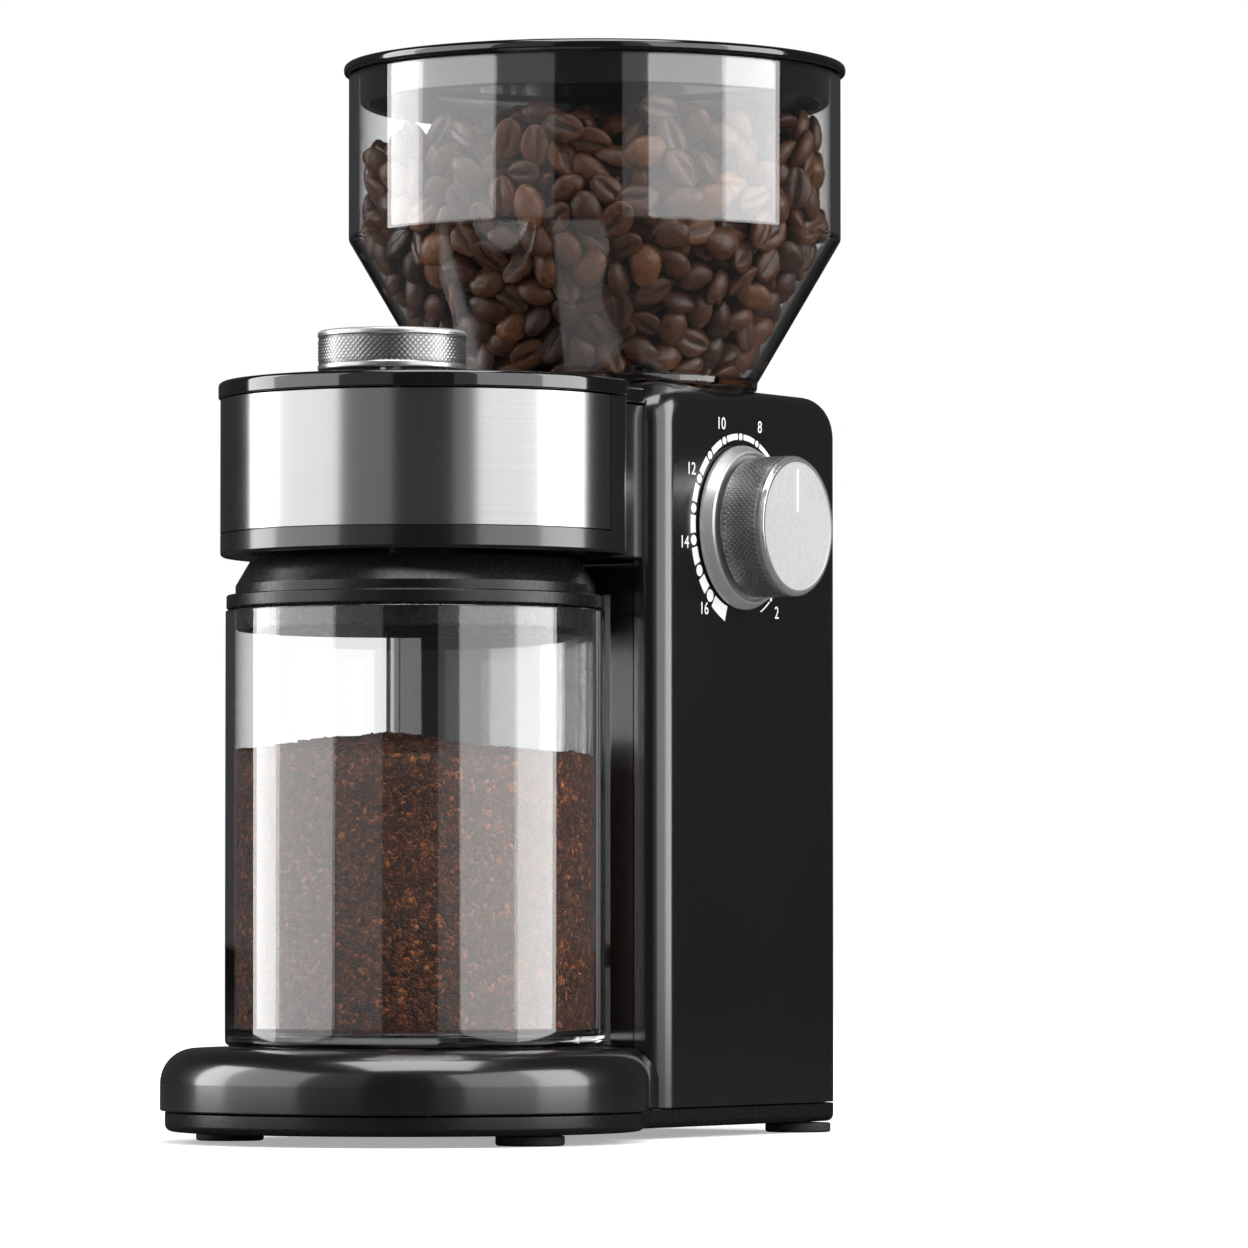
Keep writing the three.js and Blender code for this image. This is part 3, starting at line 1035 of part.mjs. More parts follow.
function magnet(name, middleDeg, start) {
  const outer = MOTOR_R - MOTOR_WALL - GAP;
  const [from, to] = [rad(middleDeg - MAGNET_HALF_DEG), rad(middleDeg + MAGNET_HALF_DEG)];
  const arc = new THREE.Shape();
  arc.absarc(0, 0, outer, from, to, false);
  arc.absarc(0, 0, outer - MAGNET_THICK, to, from, true);
  arc.closePath();
  return toMesh(name, pulled(arc, start, start + ROTOR_LENGTH, 6), magnetGrey);
}

function coolingFan(start) {
  let fan = disc(FAN_HUB_R, start, start + FAN_WIDTH, 12);
  for (let i = 0; i < FAN_BLADES; i++) {
    const blade = box([FAN_HUB_R - 1, FAN_R], [-0.7, 0.7], [start, start + FAN_WIDTH])
      .rotate([0, 0, (360 * i) / FAN_BLADES]);
    fan = fan.add(blade);
  }
  fan = fan.add(disc(FAN_R - 5, start, start + 1, ROUND_SHAFT));
  const bore = disc(MOTOR_SHAFT_R + GAP, start - 1, start + FAN_WIDTH + 1, ROUND_SMALL);
  return toMesh('cooling_fan', fan.subtract(bore), whitePlastic);
}

// ---------------------------------------------------------------- the grinder

const grinder = new THREE.Group();
grinder.add(
  base(),
  columnHousing(), sidePanel('side_panel_right', 1), sidePanel('side_panel_left', -1),
  rearCover(), cordGrommet(), hopperCollar(), ...interlock(),
  headShell(), steelBand(), headCap(), groundsChute(), ...controls(), ...selector(),
  hopperShell(), hopperLid(), containerJar(), containerLid(),
  burrLine(), gearPlate(), idlerLine(), motorLine(),
);
grinder.position.y = SHIFT_Y;

export default grinder;
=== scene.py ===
"""Looks of the burr coffee grinder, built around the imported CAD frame. Metres, +Z up, front is -Y."""

import math

import bmesh
import bpy
import numpy as np
from mathutils import Matrix, Vector


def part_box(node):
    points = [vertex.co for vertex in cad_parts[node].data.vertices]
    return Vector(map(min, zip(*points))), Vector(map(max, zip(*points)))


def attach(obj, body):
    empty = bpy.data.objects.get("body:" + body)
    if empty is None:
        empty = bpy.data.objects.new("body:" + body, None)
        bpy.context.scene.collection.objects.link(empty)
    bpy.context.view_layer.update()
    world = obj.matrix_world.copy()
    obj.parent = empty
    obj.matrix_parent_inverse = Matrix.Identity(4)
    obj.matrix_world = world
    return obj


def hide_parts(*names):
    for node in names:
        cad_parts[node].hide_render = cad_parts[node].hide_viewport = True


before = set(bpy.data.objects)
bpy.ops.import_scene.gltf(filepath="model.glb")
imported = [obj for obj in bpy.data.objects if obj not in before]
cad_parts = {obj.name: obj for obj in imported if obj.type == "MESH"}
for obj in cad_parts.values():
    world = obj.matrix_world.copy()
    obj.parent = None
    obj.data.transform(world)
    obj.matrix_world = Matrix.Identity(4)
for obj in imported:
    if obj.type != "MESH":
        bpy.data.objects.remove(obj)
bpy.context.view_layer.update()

MM = 0.001

# ---------------------------------------------------------------- places, read from the frame


def middle(node, axis):
    low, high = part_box(node)
    return (low[axis] + high[axis]) / 2


HOPPER_Y = middle("hopper_shell", 1)
CONTAINER_Y = middle("container_jar", 1)
SELECTOR_Y = middle("selector_knob", 1)
DIAL_Y = middle("dial_bezel", 1)
DIAL_Z = middle("dial_bezel", 2)
COLUMN_LOW, COLUMN_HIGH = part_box("column_housing")
PANEL_LOW, PANEL_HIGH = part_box("side_panel_right")
BASE_LOW, BASE_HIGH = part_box("base_shell")
TRAY_LOW, TRAY_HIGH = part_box("base_tray")
HEAD_LOW, HEAD_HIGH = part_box("head_shell")
BAND_LOW, BAND_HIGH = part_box("steel_band")
CAP_LOW, CAP_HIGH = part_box("head_cap")
JAR_LOW, JAR_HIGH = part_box("container_jar")
LID_LOW, LID_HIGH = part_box("container_lid")
HOPPER_LOW, HOPPER_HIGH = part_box("hopper_shell")
TOP_LOW, TOP_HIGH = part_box("hopper_lid")
KNOB_LOW, KNOB_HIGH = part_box("selector_knob")
BEZEL_LOW, BEZEL_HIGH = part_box("dial_bezel")
DIAL_LOW, DIAL_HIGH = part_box("dial_knob")
COLLAR_LOW, COLLAR_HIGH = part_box("hopper_collar")

# ---------------------------------------------------------------- outlines and meshes


def arc(cx, cy, r, start, end, steps):
    """Points on an arc, both ends included, angles in degrees."""
    angles = [math.radians(start + (end - start) * i / steps) for i in range(steps + 1)]
    return [(cx + r * math.cos(a), cy + r * math.sin(a)) for a in angles]


def rounded(points, radii, steps=6, closed=True):
    """The polyline with each corner replaced by an arc of its own radius, which is in millimetres."""
    count = len(points)
    out = []
    for i, (corner, radius) in enumerate(zip(points, radii)):
        if radius <= 0 or (not closed and i in (0, count - 1)):
            out.append(tuple(corner))
            continue
        radius *= MM
        c = Vector(corner)
        to_before = (Vector(points[i - 1]) - c).normalized()
        to_after = (Vector(points[(i + 1) % count]) - c).normalized()
        half = to_before.angle(to_after) / 2
        reach = radius / math.tan(half)
        centre = c + (to_before + to_after).normalized() * (radius / math.sin(half))
        first = c + to_before * reach - centre
        last = c + to_after * reach - centre
        turn = math.atan2(first.x * last.y - first.y * last.x, first.dot(last))
        for k in range(steps + 1):
            spoke = Matrix.Rotation(turn * k / steps, 2) @ first
            out.append(tuple(centre + spoke))
    return out


def placed(name, data):
    """An object in the scene that shows a mesh, curve, lamp or camera."""
    obj = bpy.data.objects.new(name, data)
    bpy.context.scene.collection.objects.link(obj)
    return obj


def as_object(name, bm):
    mesh = bpy.data.meshes.new(name)
    bm.to_mesh(mesh)
    bm.free()
    return placed(name, mesh)


def new_object(name, bm):
    """An object from a new mesh, with double points merged and its faces turned outwards."""
    bmesh.ops.remove_doubles(bm, verts=bm.verts, dist=1e-7)
    bmesh.ops.recalc_face_normals(bm, faces=bm.faces)
    return as_object(name, bm)


def soften(obj, degrees=32, weighted=True):
    """Smooth shading, with edges sharper than the limit kept sharp."""
    bm = bmesh.new()
    bm.from_mesh(obj.data)
    limit = math.radians(degrees)
    for face in bm.faces:
        face.smooth = True
    for edge in bm.edges:
        edge.smooth = len(edge.link_faces) == 2 and edge.calc_face_angle(0.0) < limit
    bm.to_mesh(obj.data)
    bm.free()
    if weighted:
        modifier = obj.modifiers.new("normals", "WEIGHTED_NORMAL")
        modifier.keep_sharp = True
        modifier.weight = 80
    return obj


def lathe(name, profile, sides=128, place=(0, 0, 0)):
    """A (radius, height) profile in metres, closed or ending on the axis, turned about its axis."""
    bm = bmesh.new()
    rings = []
    for radius, height in profile:
        if radius < 1e-7:
            rings.append([bm.verts.new((0, 0, height))] * sides)
            continue
        ring = []
        for k in range(sides):
            a = 2 * math.pi * k / sides
            ring.append(bm.verts.new((radius * math.cos(a), radius * math.sin(a), height)))
        rings.append(ring)
    on_axis = profile[0][0] < 1e-7 and profile[-1][0] < 1e-7
    pairs = list(zip(rings, rings[1:])) + ([] if on_axis else [(rings[-1], rings[0])])
    for lower, upper in pairs:
        for k in range(sides):
            corners = [lower[k], lower[(k + 1) % sides], upper[(k + 1) % sides], upper[k]]
            unique = list(dict.fromkeys(corners))
            if len(unique) > 2:
                bm.faces.new(unique)
    obj = new_object(name, bm)
    obj.data.transform(Matrix.Translation(place))
    return obj


def inset_outline(outline, distance):
    """The closed outline, run anticlockwise, moved inwards by a distance."""
    points = np.array(outline)
    ahead = np.roll(points, -1, axis=0) - points
    ahead /= np.maximum(np.linalg.norm(ahead, axis=1, keepdims=True), 1e-12)
    behind = np.roll(ahead, 1, axis=0)
    normal_a = np.stack([-ahead[:, 1], ahead[:, 0]], axis=1)
    normal_b = np.stack([-behind[:, 1], behind[:, 0]], axis=1)
    mean = normal_a + normal_b
    mean /= np.maximum(np.linalg.norm(mean, axis=1, keepdims=True), 1e-9)
    stretch = 1 / np.clip((mean * normal_a).sum(axis=1), 0.5, 1)
    return points + mean * (distance * stretch)[:, None]


def stack(name, outline, levels):
    """A solid over a plan outline: one ring for each (height, inset) level, with flat ends."""
    return skin(name, [(inset_outline(outline, inset), height) for height, inset in levels])


def skin(name, sections):
    """A solid through (outline, height) sections that have the same number of points each."""
    bm = bmesh.new()
    rings = [[bm.verts.new((x, y, height)) for x, y in points] for points, height in sections]
    count = len(rings[0])
    for lower, upper in zip(rings, rings[1:]):
        for k in range(count):
            bm.faces.new([lower[k], lower[(k + 1) % count], upper[(k + 1) % count], upper[k]])
    bm.faces.new(list(reversed(rings[0])))
    bm.faces.new(rings[-1])
    return new_object(name, bm)


def edge_levels(bottom, top, low_r, high_r, steps=8):
    """Levels for stack() that round the lower and the upper edge."""
    angles = [math.pi / 2 * i / steps for i in range(steps + 1)]
    lower = [(bottom + low_r * (1 - math.cos(a)), low_r * (1 - math.sin(a))) for a in angles]
    upper = [(top - high_r * (1 - math.sin(a)), high_r * (1 - math.cos(a))) for a in angles]
    return lower + upper


def cylinder(name, radius, low, high, sides, place=(0, 0, 0)):
    return lathe(name, [(0, low), (radius, low), (radius, high), (0, high)], sides, place)


def block(name, low, high):
    bm = bmesh.new()
    bmesh.ops.create_cube(bm, size=1)
    size = [high[k] - low[k] for k in range(3)]
    mid = [(high[k] + low[k]) / 2 for k in range(3)]
    bmesh.ops.transform(bm, verts=bm.verts, matrix=Matrix.Translation(mid) @ Matrix.Diagonal((*size, 1)))
    return new_object(name, bm)


def bake_modifiers(obj):
    """Applies the object's modifiers to its mesh."""
    depsgraph = bpy.context.evaluated_depsgraph_get()
    mesh = bpy.data.meshes.new_from_object(obj.evaluated_get(depsgraph))
    obj.modifiers.clear()
    obj.data = mesh
    return obj


def boolean(obj, tool, operation="DIFFERENCE", keep=False):
    modifier = obj.modifiers.new("boolean", "BOOLEAN")
    modifier.operation = operation
    modifier.object = tool
    modifier.solver = "EXACT"
    bake_modifiers(obj)
    if not keep:
        bpy.data.objects.remove(tool)
    return obj


def copy_of(obj, name):
    twin = obj.copy()
    twin.data = obj.data.copy()
    twin.name = name
    bpy.context.scene.collection.objects.link(twin)
    return twin


def joined(name, pieces):
    """One object from several, each piece's mesh kept as it is."""
    bm = bmesh.new()
    for piece in pieces:
        bm.from_mesh(piece.data)
        bpy.data.objects.remove(piece)
    return as_object(name, bm)


# ---------------------------------------------------------------- materials


class Nodes:
    """A short way to write the node tree of a new material, or of the world."""

    def __init__(self, name, world=False):
        self.owner = (bpy.data.worlds if world else bpy.data.materials).new(name)
        self.owner.use_nodes = True
        self.tree = self.owner.node_tree
        self.tree.nodes.clear()
        self.output = self.add("ShaderNodeOutputWorld" if world else "ShaderNodeOutputMaterial")

    def add(self, kind, **settings):
        node = self.tree.nodes.new(kind)
        for key, value in settings.items():
            setattr(node, key, value)
        return node

    def link(self, source, target):
        self.tree.links.new(source, target)

    def principled(self, **values):
        node = self.add("ShaderNodeBsdfPrincipled")
        for key, value in values.items():
            node.inputs[key.replace("_", " ")].default_value = value
        self.link(node.outputs[0], self.output.inputs["Surface"])
        return node

    def fill(self, sockets, values):
        """Links each socket to a source, or sets it to a plain value."""
        for socket, value in zip(sockets, values):
            if isinstance(value, bpy.types.NodeSocket):
                self.link(value, socket)
            else:
                socket.default_value = value

    def math(self, operation, first, second):
        node = self.add("ShaderNodeMath", operation=operation)
        self.fill(node.inputs, (first, second))
        return node.outputs[0]

    def mix(self, factor, first, second, blend="MIX"):
        """A blend of two colours."""
        node = self.add("ShaderNodeMix", data_type="RGBA", blend_type=blend)
        self.fill((node.inputs[0], node.inputs[6], node.inputs[7]), (factor, first, second))
        return node.outputs[2]

    def mix_shader(self, factor, first, second):
        node = self.add("ShaderNodeMixShader")
        self.fill(node.inputs, (factor, first, second))
        return node.outputs[0]

    def coordinates(self, kind="Object", scale=(1, 1, 1)):
        source = self.add("ShaderNodeTexCoord")
        mapping = self.add("ShaderNodeMapping")
        mapping.inputs["Scale"].default_value = scale
        self.link(source.outputs[kind], mapping.inputs["Vector"])
        return mapping.outputs[0]

    def noise(self, vector, scale, detail=3.0, roughness=0.5, distortion=0.0):
        node = self.add("ShaderNodeTexNoise")
        names = ("Vector", "Scale", "Detail", "Roughness", "Distortion")
        self.fill([node.inputs[key] for key in names], (vector, scale, detail, roughness, distortion))
        return node

    def span(self, value, low, high, from_low=0.0, from_high=1.0):
        """The value, with a range of it stretched onto the range from low to high."""
        node = self.add("ShaderNodeMapRange")
        names = ("Value", "From Min", "From Max", "To Min", "To Max")
        self.fill([node.inputs[key] for key in names], (value, from_low, from_high, low, high))
        return node.outputs[0]

    def ramp(self, value, stops):
        node = self.add("ShaderNodeValToRGB")
        ramp = node.color_ramp
        while len(ramp.elements) < len(stops):
            ramp.elements.new(0.5)
        for element, (place, colour) in zip(ramp.elements, stops):
            element.position = place
            element.color = (*colour, 1)
        self.link(value, node.inputs["Fac"])
        return node.outputs["Color"]

    def bump(self, height, strength, distance, shader):
        node = self.add("ShaderNodeBump")
        self.fill([node.inputs[key] for key in ("Height", "Strength", "Distance")], (height, strength, distance))
        self.link(node.outputs[0], shader.inputs["Normal"])


def plastic(name, colour, rough_low, rough_high, grain=0.02, speck=900.0, coat=0.0, coat_rough=0.05):
    """Moulded plastic: a colour that drifts a little, a faint moulding ripple, and fine texture."""
    n = Nodes(name)
    shader = n.principled(IOR=1.5, Coat_Weight=coat, Coat_Roughness=coat_rough, Coat_IOR=1.7)
    at = n.coordinates()
    broad = n.noise(at, 22.0, 2.0)
    fine = n.noise(at, speck, 2.0)
    darker = [c * 0.82 for c in colour]
    lighter = [min(1, c * 1.15) for c in colour]
    n.link(n.ramp(broad.outputs[0], [(0.3, darker), (0.7, lighter)]), shader.inputs["Base Color"])
    n.link(n.span(fine.outputs[0], rough_low, rough_high, 0.3, 0.7), shader.inputs["Roughness"])
    n.bump(fine.outputs[0], grain, 0.0002, shader)
    return n.owner


def clear_plastic(name, tint):
    """Clear moulded plastic: it mirrors and bends light, and lets the lamps through to what it holds."""
    n = Nodes(name)
    shader = n.principled(IOR=1.5, Transmission_Weight=1.0, Roughness=0.01, Coat_Weight=0.34, Coat_IOR=1.75,
                          Coat_Roughness=0.01)
    shader.inputs["Base Color"].default_value = (*tint, 1)
    at = n.coordinates()
    ripple = n.noise(at, 16.0, 1.0)
    n.bump(ripple.outputs[0], 0.04, 0.001, shader)
    path = n.add("ShaderNodeLightPath")
    clear = n.add("ShaderNodeBsdfTransparent")
    clear.inputs["Color"].default_value = (0.95, 0.96, 0.96, 1)
    mixed = n.mix_shader(path.outputs["Is Shadow Ray"], shader.outputs[0], clear.outputs[0])
    n.link(mixed, n.output.inputs["Surface"])
    return n.owner


def brushed_band():
    """Stainless sheet, brushed along the band: streaks long in U and fine in V."""
    n = Nodes("brushed_steel_band")
    shader = n.principled(Metallic=1.0, Anisotropic=0.75, Anisotropic_Rotation=0.25)
    at = n.coordinates("UV", (6.0, 2600.0, 1.0))
    streaks = n.noise(at, 2.0, 3.0, 0.6)
    wide = n.noise(n.coordinates("UV", (9.0, 60.0, 1.0)), 1.0, 2.0)
    tone = n.ramp(streaks.outputs[0], [(0.2, (0.42, 0.42, 0.43)), (0.8, (0.47, 0.47, 0.48))])
    n.link(tone, shader.inputs["Base Color"])
    n.link(n.span(wide.outputs[0], 0.225, 0.24, 0.3, 0.7), shader.inputs["Roughness"])
    tangent = n.add("ShaderNodeTangent", direction_type="RADIAL", axis="Z")
    n.link(tangent.outputs[0], shader.inputs["Tangent"])
    n.bump(streaks.outputs[0], 0.04, 0.00003, shader)
    return n.owner


def metal(name, tone, rough_low, rough_high, scale=(1, 1, 1), speck=700.0, bump=0.05, metallic=1.0):
    """Bare metal with a fine machined grain along the scaled axes."""
    n = Nodes(name)
    shader = n.principled(Metallic=metallic)
    grain = n.noise(n.coordinates("Object", scale), speck, 3.0, 0.6)
    blotch = n.noise(n.coordinates(), 60.0, 2.0)
    low = [c * 0.88 for c in tone]
    n.link(n.ramp(grain.outputs[0], [(0.3, low), (0.7, tone)]), shader.inputs["Base Color"])
    n.link(n.span(blotch.outputs[0], rough_low, rough_high, 0.3, 0.7), shader.inputs["Roughness"])
    n.bump(grain.outputs[0], bump, 0.00005, shader)
    return n.owner


def knurled_metal(name, tone):
    """Aluminium with a diamond knurl: its colour is darker in the grooves, as painted shade."""
    n = Nodes(name)
    shader = n.principled(Metallic=0.9)
    groove = n.add("ShaderNodeAttribute", attribute_name="groove")
    speck = n.noise(n.coordinates(), 900.0, 2.0)
    bright = [tone * c for c in (1.0, 1.0, 1.01)]
    # Painted shade: in the grooves the colour falls to a third of its tone.
    dark = [0.3 * c for c in bright]
    n.link(n.ramp(groove.outputs["Fac"], [(0.25, bright), (0.85, dark)]), shader.inputs["Base Color"])
    n.link(n.span(speck.outputs[0], 0.26, 0.32, 0.3, 0.7), shader.inputs["Roughness"])
    return n.owner


def rubber(name):
    n = Nodes(name)
    shader = n.principled(IOR=1.5)
    at = n.coordinates()
    fine = n.noise(at, 1600.0, 3.0)
    n.link(n.ramp(fine.outputs[0], [(0.3, (0.012, 0.012, 0.012)), (0.8, (0.03, 0.03, 0.031))]),
           shader.inputs["Base Color"])
    n.link(n.span(fine.outputs[0], 0.6, 0.85), shader.inputs["Roughness"])
    n.bump(fine.outputs[0], 0.25, 0.0001, shader)
    return n.owner


def roasted_beans():
    """Dark roasted coffee: brown that varies from bean to bean, painted shade in the crease, a little oil."""
    n = Nodes("roasted_beans")
    shader = n.principled(IOR=1.38, Coat_Weight=0.3, Coat_Roughness=0.1)
    tone = n.add("ShaderNodeAttribute", attribute_name="bean_tone")
    crease = n.add("ShaderNodeAttribute", attribute_name="crease")
    at = n.coordinates()
    grain = n.noise(at, 620.0, 6.0, 0.68, 0.9)
    body = n.ramp(tone.outputs["Fac"], [(0.0, (0.028, 0.009, 0.003)), (0.5, (0.085, 0.029, 0.009)),
                                        (0.85, (0.17, 0.062, 0.019)), (1.0, (0.36, 0.15, 0.045))])
    patches = n.ramp(grain.outputs[0], [(0.32, (0.25, 0.22, 0.2)), (0.66, (1.3, 1.25, 1.2))])
    mottled = n.mix(0.8, body, patches, "MULTIPLY")
    # Painted shade: the crease is coloured near black.
    n.link(n.mix(crease.outputs["Fac"], mottled, (0.008, 0.003, 0.002, 1)), shader.inputs["Base Color"])
    n.link(n.span(grain.outputs[0], 0.26, 0.44, 0.3, 0.7), shader.inputs["Roughness"])
    n.bump(grain.outputs[0], 0.5, 0.0007, shader)
    return n.owner


def ground_coffee():
    """Coarse grounds: curled grains of a few browns, with painted shade in the gaps between them."""
    n = Nodes("ground_coffee")
    shader = n.principled(IOR=1.45)
    at = n.coordinates()
    warp = n.noise(at, 420.0, 2.0)
    bent = n.add("ShaderNodeMix", data_type="VECTOR")
    bent.inputs["Factor"].default_value = 0.0035
    n.link(at, bent.inputs[4])
    n.link(warp.outputs["Color"], bent.inputs[5])
    grains = n.add("ShaderNodeTexVoronoi", feature="F1")
    gaps = n.add("ShaderNodeTexVoronoi", feature="DISTANCE_TO_EDGE")
    for cells in (grains, gaps):
        cells.inputs["Scale"].default_value = 950.0
        n.link(bent.outputs[1], cells.inputs["Vector"])
    pick = n.add("ShaderNodeSeparateColor")
    n.link(grains.outputs["Color"], pick.inputs[0])
    tone = n.ramp(pick.outputs[0], [(0.0, (0.022, 0.006, 0.002)), (0.5, (0.085, 0.021, 0.0055)),
                                    (0.85, (0.17, 0.046, 0.012)), (1.0, (0.32, 0.10, 0.028))])
    # Painted shade where the grains meet.
    shade = n.ramp(gaps.outputs["Distance"], [(0.0, (0.25, 0.22, 0.2)), (0.22, (1, 1, 1))])
    n.link(n.mix(1.0, tone, shade, "MULTIPLY"), shader.inputs["Base Color"])
    n.link(n.span(pick.outputs[1], 0.45, 0.8), shader.inputs["Roughness"])
    n.bump(gaps.outputs["Distance"], 0.9, 0.0012, shader)
    return n.owner


def white_print():
    n = Nodes("white_print")
    shader = n.principled(IOR=1.45)
    speck = n.noise(n.coordinates(), 1500.0, 2.0)
    n.link(n.ramp(speck.outputs[0], [(0.2, (0.80, 0.80, 0.80)), (0.8, (0.90, 0.90, 0.90))]),
           shader.inputs["Base Color"])
    n.link(n.span(speck.outputs[0], 0.35, 0.5), shader.inputs["Roughness"])
    return n.owner


def circuit_board():
    n = Nodes("circuit_board")
    shader = n.principled(IOR=1.5, Coat_Weight=0.4, Coat_Roughness=0.15)
    tracks = n.add("ShaderNodeTexBrick")
    tracks.inputs["Scale"].default_value = 240.0
    tracks.inputs["Color1"].default_value = (0.012, 0.10, 0.045, 1)
    tracks.inputs["Color2"].default_value = (0.016, 0.13, 0.06, 1)
    tracks.inputs["Mortar"].default_value = (0.03, 0.22, 0.11, 1)
    n.link(n.coordinates(), tracks.inputs["Vector"])
    n.link(tracks.outputs["Color"], shader.inputs["Base Color"])
    fine = n.noise(n.coordinates(), 900.0)
    n.link(n.span(fine.outputs[0], 0.35, 0.5), shader.inputs["Roughness"])
    return n.owner


BLACK = (0.0036, 0.0036, 0.0041)
MATERIALS = {
    "housing": plastic("black_plastic", BLACK, 0.24, 0.27, 0.001, coat=0.8, coat_rough=0.12),
    "gloss": plastic("black_plastic_polished", BLACK, 0.08, 0.12, 0.008, coat=0.7),
    "satin": plastic("black_plastic_satin", (0.005, 0.005, 0.0055), 0.24, 0.32, 0.05),
    "clear": clear_plastic("clear_plastic", (0.985, 0.99, 0.99)),
    "band": brushed_band(),
    "knurl": knurled_metal("aluminium_knurl", 0.52),
    # The dial's knurl is the selector's aluminium painted lighter: painted light, so that the dial reads brighter.
    "painted_light_dial_knurl": knurled_metal("aluminium_painted_light_dial_knurl", 0.85),
    "turned": metal("aluminium_turned", (0.66, 0.66, 0.67), 0.36, 0.44, metallic=0.75),
    "face": metal("aluminium_face", (0.62, 0.62, 0.63), 0.46, 0.54, metallic=0.45),
    "polished": metal("aluminium_polished", (0.80, 0.80, 0.81), 0.16, 0.22, bump=0.01, metallic=0.85),
    "burr": metal("burr_steel", (0.40, 0.40, 0.42), 0.28, 0.40),
    "zinc": metal("zinc_plate", (0.60, 0.60, 0.59), 0.25, 0.42, speck=300.0),
    "iron": metal("laminated_iron", (0.16, 0.16, 0.17), 0.40, 0.55, (40, 1, 1), 60.0),
    "magnet": metal("sintered_magnet", (0.07, 0.07, 0.075), 0.50, 0.65),
    "grey": plastic("grey_plastic", (0.035, 0.037, 0.04), 0.38, 0.50, 0.08),
    "nylon": plastic("natural_nylon", (0.62, 0.60, 0.55), 0.35, 0.48, 0.05),
    "rubber": rubber("rubber"),
    "board": circuit_board(),
    "beans": roasted_beans(),
    "grounds": ground_coffee(),
    "print": white_print(),
}


def dress(obj, material, body, slot, *replaced):
    """Material, body, slot (not used here) and the CAD nodes that a piece stands for."""
    obj.data.materials.clear()
    obj.data.materials.append(MATERIALS[material])
    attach(obj, body)
    if replaced:
        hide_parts(*replaced)
    return obj


# ---------------------------------------------------------------- camera, floor and light

HEADING = math.radians(32.07)  # the camera looks this far round from +Y, towards -X
PITCH = math.radians(2.214)
LENS_MM = 223.6
CAMERA_AT = Vector((1.0454, HOPPER_Y - 1.6545, 0.0529))


def add_camera():
    data = bpy.data.cameras.new("camera")
    data.lens = LENS_MM
    data.sensor_width = 36
    data.clip_end = 50
    camera = placed("camera", data)
    camera.location = CAMERA_AT
    camera.rotation_euler = (math.pi / 2 + PITCH, 0, HEADING)
    bpy.context.scene.camera = camera


def add_floor():
    """A pale floor. Seen straight on it fades to the white of the background away from the grinder."""
    n = Nodes("floor")
    shader = n.principled(Roughness=0.9, IOR=1.2)
    speck = n.noise(n.coordinates(), 3.0, 2.0)
    path = n.add("ShaderNodeLightPath")
    shade = n.ramp(speck.outputs[0], [(0.2, (0.93, 0.93, 0.93)), (0.8, (0.95, 0.95, 0.95))])
    mirrored = n.math("MINIMUM", path.outputs["Glossy Depth"], 1.0)
    n.link(n.mix(mirrored, shade, (0.05, 0.05, 0.05, 1)), shader.inputs["Base Color"])
    distance = n.add("ShaderNodeVectorMath", operation="LENGTH")
    n.link(n.coordinates(), distance.inputs[0])
    fade = n.span(distance.outputs["Value"], 0.36, 0.8, 0.1, 0.5)
    shader.inputs["Emission Color"].default_value = (1, 1, 1, 1)
    n.link(n.math("MULTIPLY", fade, path.outputs["Is Camera Ray"]), shader.inputs["Emission Strength"])
    bm = bmesh.new()
    bmesh.ops.create_grid(bm, x_segments=1, y_segments=1, size=12)
    floor = new_object("floor", bm)
    floor.data.materials.append(n.owner)


LAMP_AIM = Vector((0, 0, 0.14))
# name: azimuth, elevation, distance, width, height, power, shift. Azimuth is measured from the camera's side of the
# object, to its right, and the shift is along the lamp's width. Lengths are metres and powers are watts.
LAMPS = {
    "left_box_bright": (-80, 12, 1.5, 0.7, 1.6, 17, -0.6),
    "left_box_dim": (-80, 12, 1.5, 1.2, 1.6, 11.6, 0.35),
    "left_box_faint": (-33, 12, 1.5, 0.8, 1.6, 1.1, 0),
    "right_box_faint": (20.5, 12, 1.5, 0.34, 1.6, 0.5, 0),
    "right_box_bright": (61, 12, 1.5, 0.95, 1.6, 21, 0.55),
    "right_box_dim": (61, 12, 1.5, 1.1, 1.6, 10.7, -0.475),
    "top_box": (10, 72, 1.6, 1.2, 1.2, 20, 0),
}
DIFFUSE_LIGHT = 0.30
MIRRORED_LIGHT = 0.045


def softbox(name, azimuth, elevation, distance, width, height, power, shift):
    """A rectangular lamp that faces the object."""
    data = bpy.data.lights.new(name, "AREA")
    data.shape = "RECTANGLE"
    data.size = width
    data.size_y = height
    data.energy = power
    lamp = placed(name, data)
    around = -math.pi / 2 + HEADING + math.radians(azimuth)
    lift = math.radians(elevation)
    lamp.location = LAMP_AIM + distance * Vector((
        math.cos(around) * math.cos(lift), math.sin(around) * math.cos(lift), math.sin(lift)))
    facing = (LAMP_AIM - lamp.location).to_track_quat("-Z", "Y")
    lamp.rotation_euler = facing.to_euler()
    lamp.location += facing @ Vector((shift, 0, 0))


